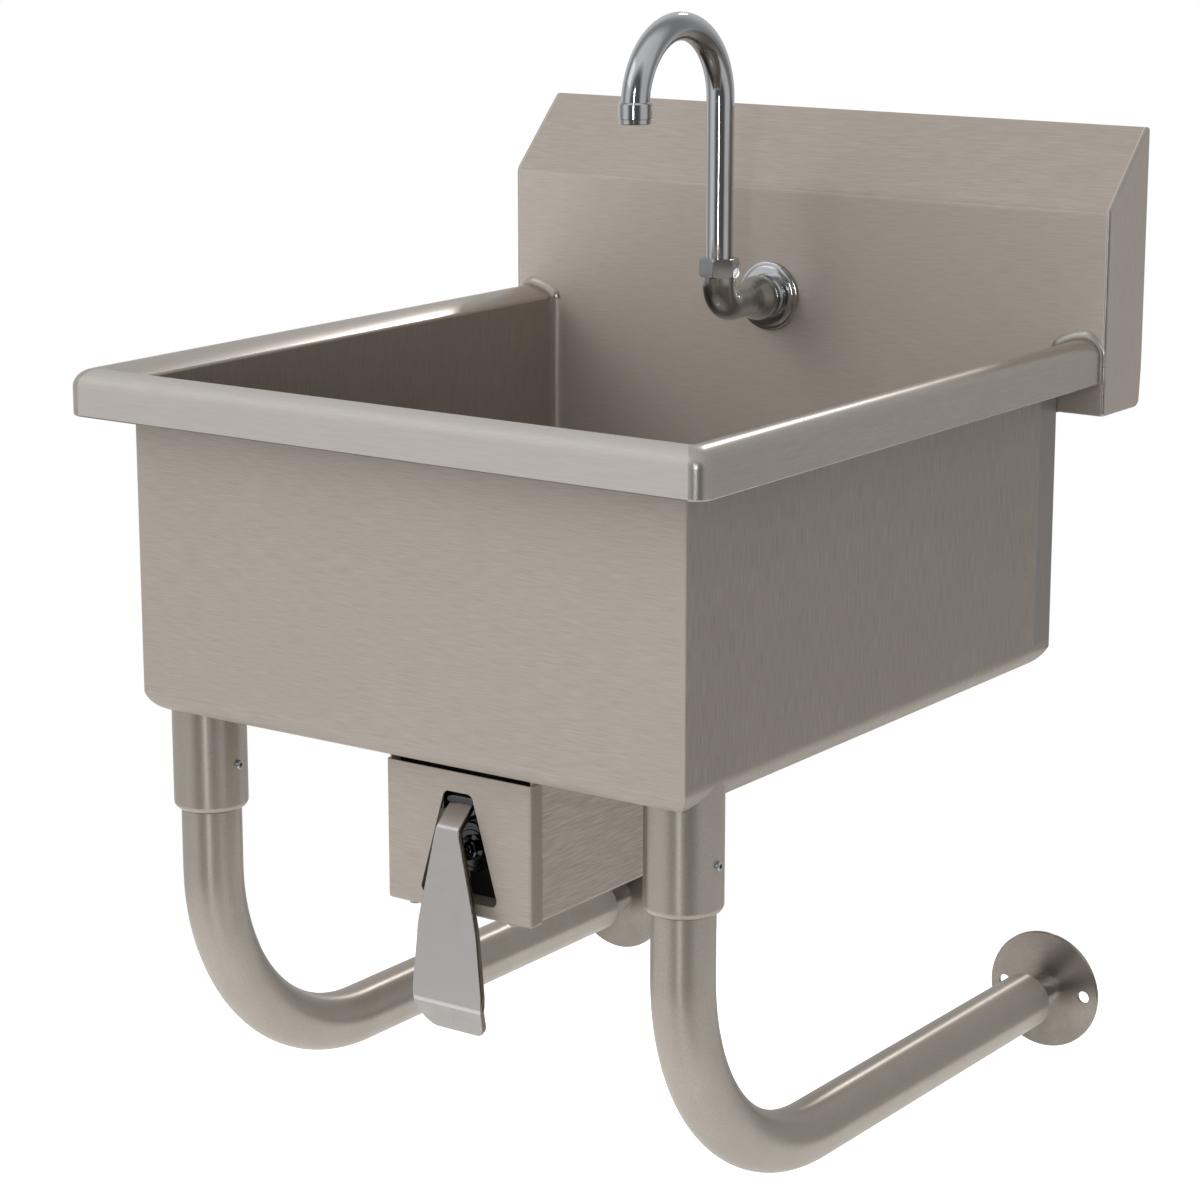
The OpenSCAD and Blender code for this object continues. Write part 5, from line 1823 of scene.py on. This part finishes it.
@dataclass
class KneeValve:
    """The valve behind the cover, with its nut, plunger, hinge and inlets."""

    pedal: KneePedal
    plunger_travel: float = 3.65 * MM
    flutes: int = 8
    flute: float = 4.5 * MM
    flute_ring: float = 19.5 * MM

    def __post_init__(self) -> None:
        """Reads the valve's places from the frame."""
        self.axis_z = self.pedal.hinge.z - self.pedal.valve_drop
        self.nut_low, self.nut_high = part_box("bonnet_nut")

    def build_nut(self) -> None:
        """Makes the black fluted nut."""
        front, depth = self.nut_low.y, self.nut_high.y - self.nut_low.y
        place = Vector((self.pedal.middle, front, self.axis_z))
        rim, bore, cap = 17.2 * MM, 4.05 * MM, 8.5 * MM
        outline = [(cap, 0), (11.5 * MM, 0), (12 * MM, 0.6 * MM), (13.5 * MM, 0.6 * MM),
                   (14 * MM, 0), (rim - MM, 0), (rim, MM), (rim, depth - MM),
                   (rim - MM, depth), (12.1 * MM, depth), (12.1 * MM, depth - 4 * MM),
                   (bore, depth - 4 * MM), (bore, 5 * MM), (cap, 5 * MM)]
        nut = Piece.lathe("bonnet", outline, place, Y_AXIS, 96, closed=True)
        for i in range(self.flutes):
            turn = math.tau * (i + 0.5) / self.flutes
            centre = place + Vector((math.cos(turn), 0, math.sin(turn))) * self.flute_ring
            nut.cut(Piece.rod("flute", self.flute, -MM, depth + MM, centre, Y_AXIS, 32))
        nut.soften(0.4 * MM, 2, 50).smooth().dress(DARK_CHROME)
        nut.mount("sink", "dark_chrome", "bonnet_nut")

    def build_plunger(self) -> None:
        """Makes the plunger with a domed, ringed cap."""
        low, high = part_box("valve_plunger")
        place = Vector((self.pedal.middle, low.y, self.axis_z))
        length, stem = high.y - low.y, 4 * MM
        cap = [(0, 0), (3.4 * MM, 0), (3.8 * MM, 0.5 * MM), (5 * MM, 0.5 * MM), (5.4 * MM, 0),
               (6.7 * MM, 0.1 * MM), (7.5 * MM, 0.9 * MM), (7.5 * MM, 3 * MM), (7 * MM, 3.5 * MM)]
        outline = cap + [(stem, 3.5 * MM), (stem, length - 2 * MM), (6.5 * MM, length - 2 * MM),
                         (6.5 * MM, length), (0, length)]
        plunger = Piece.lathe("plunger", outline, place, Y_AXIS, 64)
        plunger.smooth(25).dress(DARK_CHROME).mount("plunger", "dark_chrome", "valve_plunger")

    def build_spring(self) -> None:
        """Makes the return spring, which the plunger presses towards its seat in the valve."""
        spring = Piece.from_node("plunger_spring", "return_spring")
        spring.smooth(60).dress(ZINC).mount("sink", "zinc_plate", "return_spring")
        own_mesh(spring.obj)

    def build(self) -> None:
        """Makes every piece of the valve."""
        self.build_nut()
        self.build_plunger()
        plain = (("valve_body", "valve_casting", BRASS, "valve_brass"),
                 ("pedal_bracket", "hinge_ears", DARK_CHROME, "dark_chrome"),
                 ("hinge_pin", "hinge_rivet", ZINC, "zinc_plate"),
                 ("hot_inlet", "hot_thread", BRASS, "valve_brass"),
                 ("cold_inlet", "cold_thread", BRASS, "valve_brass"),
                 ("tube_nuts", "tube_nut_set", BRASS, "valve_brass"),
                 ("supply_tube_lower", "supply_pipe_lower", CHROME, "polished_chrome"),
                 ("supply_tube_upper", "supply_pipe_upper", CHROME, "polished_chrome"))
        for node, name, finish, slot in plain:
            part = Piece.from_node(name, node)
            part.smooth(30).dress(finish)
            if name == "valve_casting":
                # The casting is darker on its faces towards the front.
                part.dress(DARK_CAST_AND_PAINTED_SHADE, lambda face: face.center.y < self.pedal.hinge.y + 50 * MM)
            part.mount("sink", slot, node)
        self.build_spring()


# ---------------------------------------------------------------------------------------
# Tap
# ---------------------------------------------------------------------------------------


@dataclass
class Tap:
    """The wall tap with its gooseneck. body_shape holds distances and radii in millimetres."""

    x: float = -22 * MM
    z: float = 9 * MM
    face_y: float = -56 * MM
    plate: float = 25.4 * MM
    plate_depth: float = 5 * MM
    spout_y: float = -124.4 * MM
    elbow_bend: float = 16 * MM
    elbow_top: float = 30.6 * MM
    body_shape: tuple[Flat, ...] = (
        (0, 15.4), (1.2, 15.9), (2.6, 15.9), (3.4, 14.6), (5, 14.8), (8, 15.9), (11, 16.5),
        (14, 16.2), (18, 15.0), (23, 13.4), (29, 12.3), (36, 12.0))
    nut_width: float = 26 * MM
    nut_height: float = 13.9 * MM
    nut_bore: float = 10.3 * MM
    spout: float = 10 * MM
    spout_bend_z: float = 158 * MM
    spout_bend: float = 53.6 * MM
    outlet: float = 6.6 * MM

    def build_plate(self) -> None:
        """Makes the round wall plate with its stepped edge."""
        r = self.plate
        outline = [(10.5 * MM, 0), (r - 0.3 * MM, 0), (r, 0.3 * MM), (r, 2.2 * MM),
                   (r - 0.3 * MM, 2.8 * MM), (r - 1.0 * MM, 3.2 * MM), (r - 2.4 * MM, 3.3 * MM),
                   (r - 2.7 * MM, 3.7 * MM), (r - 3.6 * MM, 4.3 * MM), (r - 6 * MM, 4.8 * MM),
                   (r - 9 * MM, 5 * MM), (10.5 * MM, 5 * MM)]
        plate = Piece.lathe("wall_plate", outline, Vector((self.x, self.face_y, self.z)),
                            -Y_AXIS, 96, closed=True)
        plate.smooth(28).dress(CHROME).mount("sink", "polished_chrome", "escutcheon")

    def body_radius(self, gone: float) -> float:
        """Radius of the tap's body at a distance from the wall plate."""
        return looked_up(self.body_shape, gone / MM) * MM

    def build_body(self) -> None:
        """Makes the body, which swells behind the plate and turns up to the spout."""
        start = Vector((self.x, self.face_y - self.plate_depth + 0.3 * MM, self.z))
        reach = start.y - self.spout_y - self.elbow_bend
        line = Route(start, -Y_AXIS, X_AXIS).run(reach, 44)
        line.bend(self.elbow_bend, 90, Z_AXIS, 24)
        line.run(self.elbow_top - self.z - self.elbow_bend, 3)
        body = Piece.loft("tap_casting", line.rings(self.body_radius, 64))
        body.smooth(50).dress(CHROME).mount("sink", "polished_chrome", "tap_body")

    def build_nut(self) -> None:
        """Makes the hexagonal nut with its turned corners."""
        corner = self.nut_width / 2 / math.cos(math.pi / 6)
        base = Vector((self.x, self.spout_y, self.elbow_top))
        nut = Piece.rod("spout_hex_nut", corner, 0, self.nut_height, base, Z_AXIS, 6)
        turned = eased([(0, 0), (corner - 0.2 * MM, 0), (corner - 0.2 * MM, self.nut_height),
                        (0, self.nut_height)], [0, 2.2 * MM, 2.2 * MM, 0], 6)
        nut.common(Piece.lathe("turned", turned, base, Z_AXIS, 96))
        nut.cut(Piece.rod("bore", self.nut_bore, -MM, 20 * MM, base, Z_AXIS))
        nut.soften(0.5 * MM, 3, 30).smooth(35).dress(CHROME)
        nut.mount("sink", "polished_chrome", "spout_nut")

    def build_spout(self) -> None:
        """Makes the gooseneck."""
        start = Vector((self.x, self.spout_y, self.elbow_top + 2 * MM))
        line = Route(start, Z_AXIS, X_AXIS).run(self.spout_bend_z - start.z, 4)
        line.bend(self.spout_bend, 180, -Y_AXIS, 72).run(self.outlet, 1)
        spout = Piece.loft("gooseneck", line.rings(self.spout, 64))
        spout.smooth(40).dress(CHROME).mount("spout", "polished_chrome", "gooseneck_spout")

    def build_aerator(self) -> None:
        """Makes the aerator's shell and dresses its screen."""
        low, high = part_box("aerator_shell")
        r, h = (high.x - low.x) / 2, high.z - low.z
        outline = [(8.5 * MM, 0), (r - 1.3 * MM, 0), (r - 0.6 * MM, 0.5 * MM),
                   (r - 0.4 * MM, 3.4 * MM), (r, 3.8 * MM), (r, h - 1.2 * MM),
                   (r - 0.4 * MM, h - 0.6 * MM), (r - 1.0 * MM, h), (10.1 * MM, h),
                   (10.1 * MM, 2 * MM), (8.5 * MM, 2 * MM)]
        shell = Piece.lathe("aerator", outline, Vector((self.x, (low.y + high.y) / 2, low.z)),
                            Z_AXIS, 64, closed=True)
        shell.smooth(28).dress(CHROME).mount("spout", "polished_chrome", "aerator_shell")
        dress_node("aerator_screen", MESH)

    def build(self) -> None:
        """Makes every piece of the tap."""
        self.build_plate()
        self.build_body()
        self.build_nut()
        self.build_spout()
        self.build_aerator()
        dress_node("spout_seal", RUBBER)
        for node, name, finish, slot in (("tap_shank", "shank_thread", BRASS, "valve_brass"),
                                         ("shank_washer", "shank_ring", ZINC, "zinc_plate"),
                                         ("shank_locknut", "shank_nut", BRASS, "valve_brass")):
            part = Piece.from_node(name, node)
            part.soften(0.3 * MM, 2, 50).smooth(30).dress(finish).mount("sink", slot, node)


# ---------------------------------------------------------------------------------------
# Studio
# ---------------------------------------------------------------------------------------


@dataclass(frozen=True)
class Lamp:
    """A soft lamp, with its place, its width and height, and its power in watts."""

    name: str
    place: Triple
    size: Flat
    power: float


@dataclass
class Studio:
    """The pale floor, the soft lamps and the camera."""

    target: Vector = fixed(-0.0058, -0.2965, -0.17355)
    azimuth: float = 35.15
    elevation: float = 13.32
    distance: float = 2.3081
    lens: float = 100.15
    sensor: float = 36
    clip: Flat = (0.05, 50)
    floor_z: float = -0.86
    floor_y: float = -0.28
    floor_radius: float = 1.3
    floor_glow: float = 0.25
    floor_lift: float = 0.3
    floor_colour: Triple = (0.86, 0.86, 0.855)
    floor_speckle: Triple = (0.82, 0.82, 0.815)
    bright_side: Triple = (-0.62, -0.55, 0.50)
    dark_side: Triple = (0.48, -0.87, 0.0)
    dim: float = 0.52
    bright: float = 0.66
    bright_span: Flat = (-0.8, 0.8)
    room_share: float = 0.15
    room_span: Flat = (0.60, 0.88)
    shade: float = 0.08
    daylight: float = 1.55
    daylight_span: Flat = (-0.3, 0.8)
    lamps: tuple[Lamp, ...] = (Lamp("key", (-2.6, -3.0, 2.6), (2.8, 2.2), 9),
                               Lamp("window", (1.12, -2.9, 0.35), (0.12, 1.5), 14),
                               Lamp("behind", (-0.62, 1.80, 1.50), (0.22, 0.25), 7))

    def back(self) -> Vector:
        """Unit vector from the target to the camera."""
        a, e = math.radians(self.azimuth), math.radians(self.elevation)
        return Vector((math.sin(a) * math.cos(e), -math.cos(a) * math.cos(e), math.sin(e)))

    def build_camera(self) -> None:
        """Puts the camera at the photograph's angle."""
        deselect()
        bpy.ops.object.camera_add(location=self.target + self.back() * self.distance)
        camera = bpy.context.active_object
        camera.rotation_mode = "QUATERNION"
        camera.rotation_quaternion = (-self.back()).to_track_quat("-Z", "Y")
        camera.data.lens = self.lens
        camera.data.sensor_width = self.sensor
        camera.data.clip_start, camera.data.clip_end = self.clip
        bpy.context.scene.camera = camera

    def build_lamp(self, lamp: Lamp) -> None:
        """Adds a soft lamp that faces the sink.

        Args:
            lamp: The lamp.
        """
        deselect()
        bpy.ops.object.light_add(type="AREA", location=lamp.place)
        light = bpy.context.active_object
        light.name = lamp.name
        light.data.shape = "RECTANGLE"
        light.data.size, light.data.size_y = lamp.size
        light.data.energy = lamp.power
        light.rotation_mode = "QUATERNION"
        light.rotation_quaternion = (self.target - light.location).to_track_quat("-Z", "Y")

    def build_world(self) -> None:
        """Makes a white backdrop that fades to a dim room on the side of the camera."""
        world = bpy.data.worlds.new("studio")
        bpy.context.scene.world = world
        world.use_nodes = True
        nodes = Nodes(world.node_tree)
        nodes.tree.nodes.clear()
        around = nodes.add("ShaderNodeTexCoord").outputs["Generated"]

        def grade(way: Triple, span: Flat, low: float, high: float) -> Socket:
            """Strength that changes with the direction.

            Args:
                way: The direction in which it is high.
                span: Shares of that direction at which it is low and high.
                low: The low strength.
                high: The high strength.

            Returns:
                The strength.
            """
            share = nodes.add("ShaderNodeVectorMath", {0: around, 1: way},
                              operation="DOT_PRODUCT").outputs["Value"]
            return nodes.add("ShaderNodeMapRange", {
                "Value": share, "From Min": span[0], "From Max": span[1], "To Min": low,
                "To Max": high}, interpolation_type="SMOOTHSTEP").outputs["Result"]

        sides = grade(self.bright_side, self.bright_span, self.dim, self.bright)
        room_side = grade(self.dark_side, self.room_span, 1.0, self.room_share)
        camera = nodes.add("ShaderNodeLightPath").outputs["Is Camera Ray"]
        mirrored = nodes.compute("MAXIMUM", nodes.compute("MULTIPLY", sides, room_side), camera)
        spread = grade(self.bright_side, self.daylight_span, self.shade, self.daylight)
        room, backdrop = (nodes.add("ShaderNodeBackground",
                                    {"Color": (1, 1, 1, 1), "Strength": strength}).outputs[0]
                          for strength in (spread, mirrored))
        choose = nodes.add("ShaderNodeMixShader", {0: nodes.seen(), 1: room, 2: backdrop})
        nodes.add("ShaderNodeOutputWorld", {"Surface": choose.outputs[0]})

    def build_floor(self) -> None:
        """Makes the pale round floor, which melts into the backdrop but keeps a soft shadow."""
        deselect()
        bpy.ops.mesh.primitive_circle_add(vertices=96, radius=self.floor_radius,
                                          fill_type="NGON",
                                          location=(0, self.floor_y, self.floor_z))
        floor = bpy.context.active_object
        floor.name = "floor"
        graph = Graph("pale floor")
        speckle = graph.noise((220.0, 220.0, 220.0), 3.0)
        graph.link(graph.blend(speckle, self.floor_colour, self.floor_speckle),
                   graph.shader.inputs["Base Color"])
        graph.shader.inputs["Roughness"].default_value = 0.9
        plain = graph.shader.outputs[0]
        camera = graph.add("ShaderNodeLightPath").outputs["Is Camera Ray"]
        glow = graph.add("ShaderNodeEmission", {
            "Color": (1, 1, 1, 1),
            "Strength": graph.compute("MULTIPLY_ADD", camera, self.floor_lift, self.floor_glow)})
        lit = graph.add("ShaderNodeAddShader", {0: plain, 1: glow.outputs[0]}).outputs[0]
        choose = graph.add("ShaderNodeMixShader", {0: graph.seen(), 1: plain, 2: lit})
        graph.link(choose.outputs[0], graph.tree.nodes["Material Output"].inputs["Surface"])
        floor.data.materials.append(graph.material)

    def build(self) -> None:
        """Sets the studio up."""
        self.build_camera()
        self.build_world()
        self.build_floor()
        for lamp in self.lamps:
            self.build_lamp(lamp)
        bpy.context.scene.view_settings.view_transform = "Standard"


def main() -> None:
    """Builds the sink's sub-assemblies and the studio."""
    logging.basicConfig(level=logging.INFO, format="%(name)s: %(message)s")
    basin = Basin()
    pedal = KneePedal()
    assemblies = [basin, Backsplash(), Drain(), Leg(Side.LEFT, basin), Leg(Side.RIGHT, basin),
                  ValveBox(), pedal, KneeValve(pedal), Tap(), Studio()]
    for assembly in assemblies:
        assembly.build()


if __name__ == "__main__":
    main()
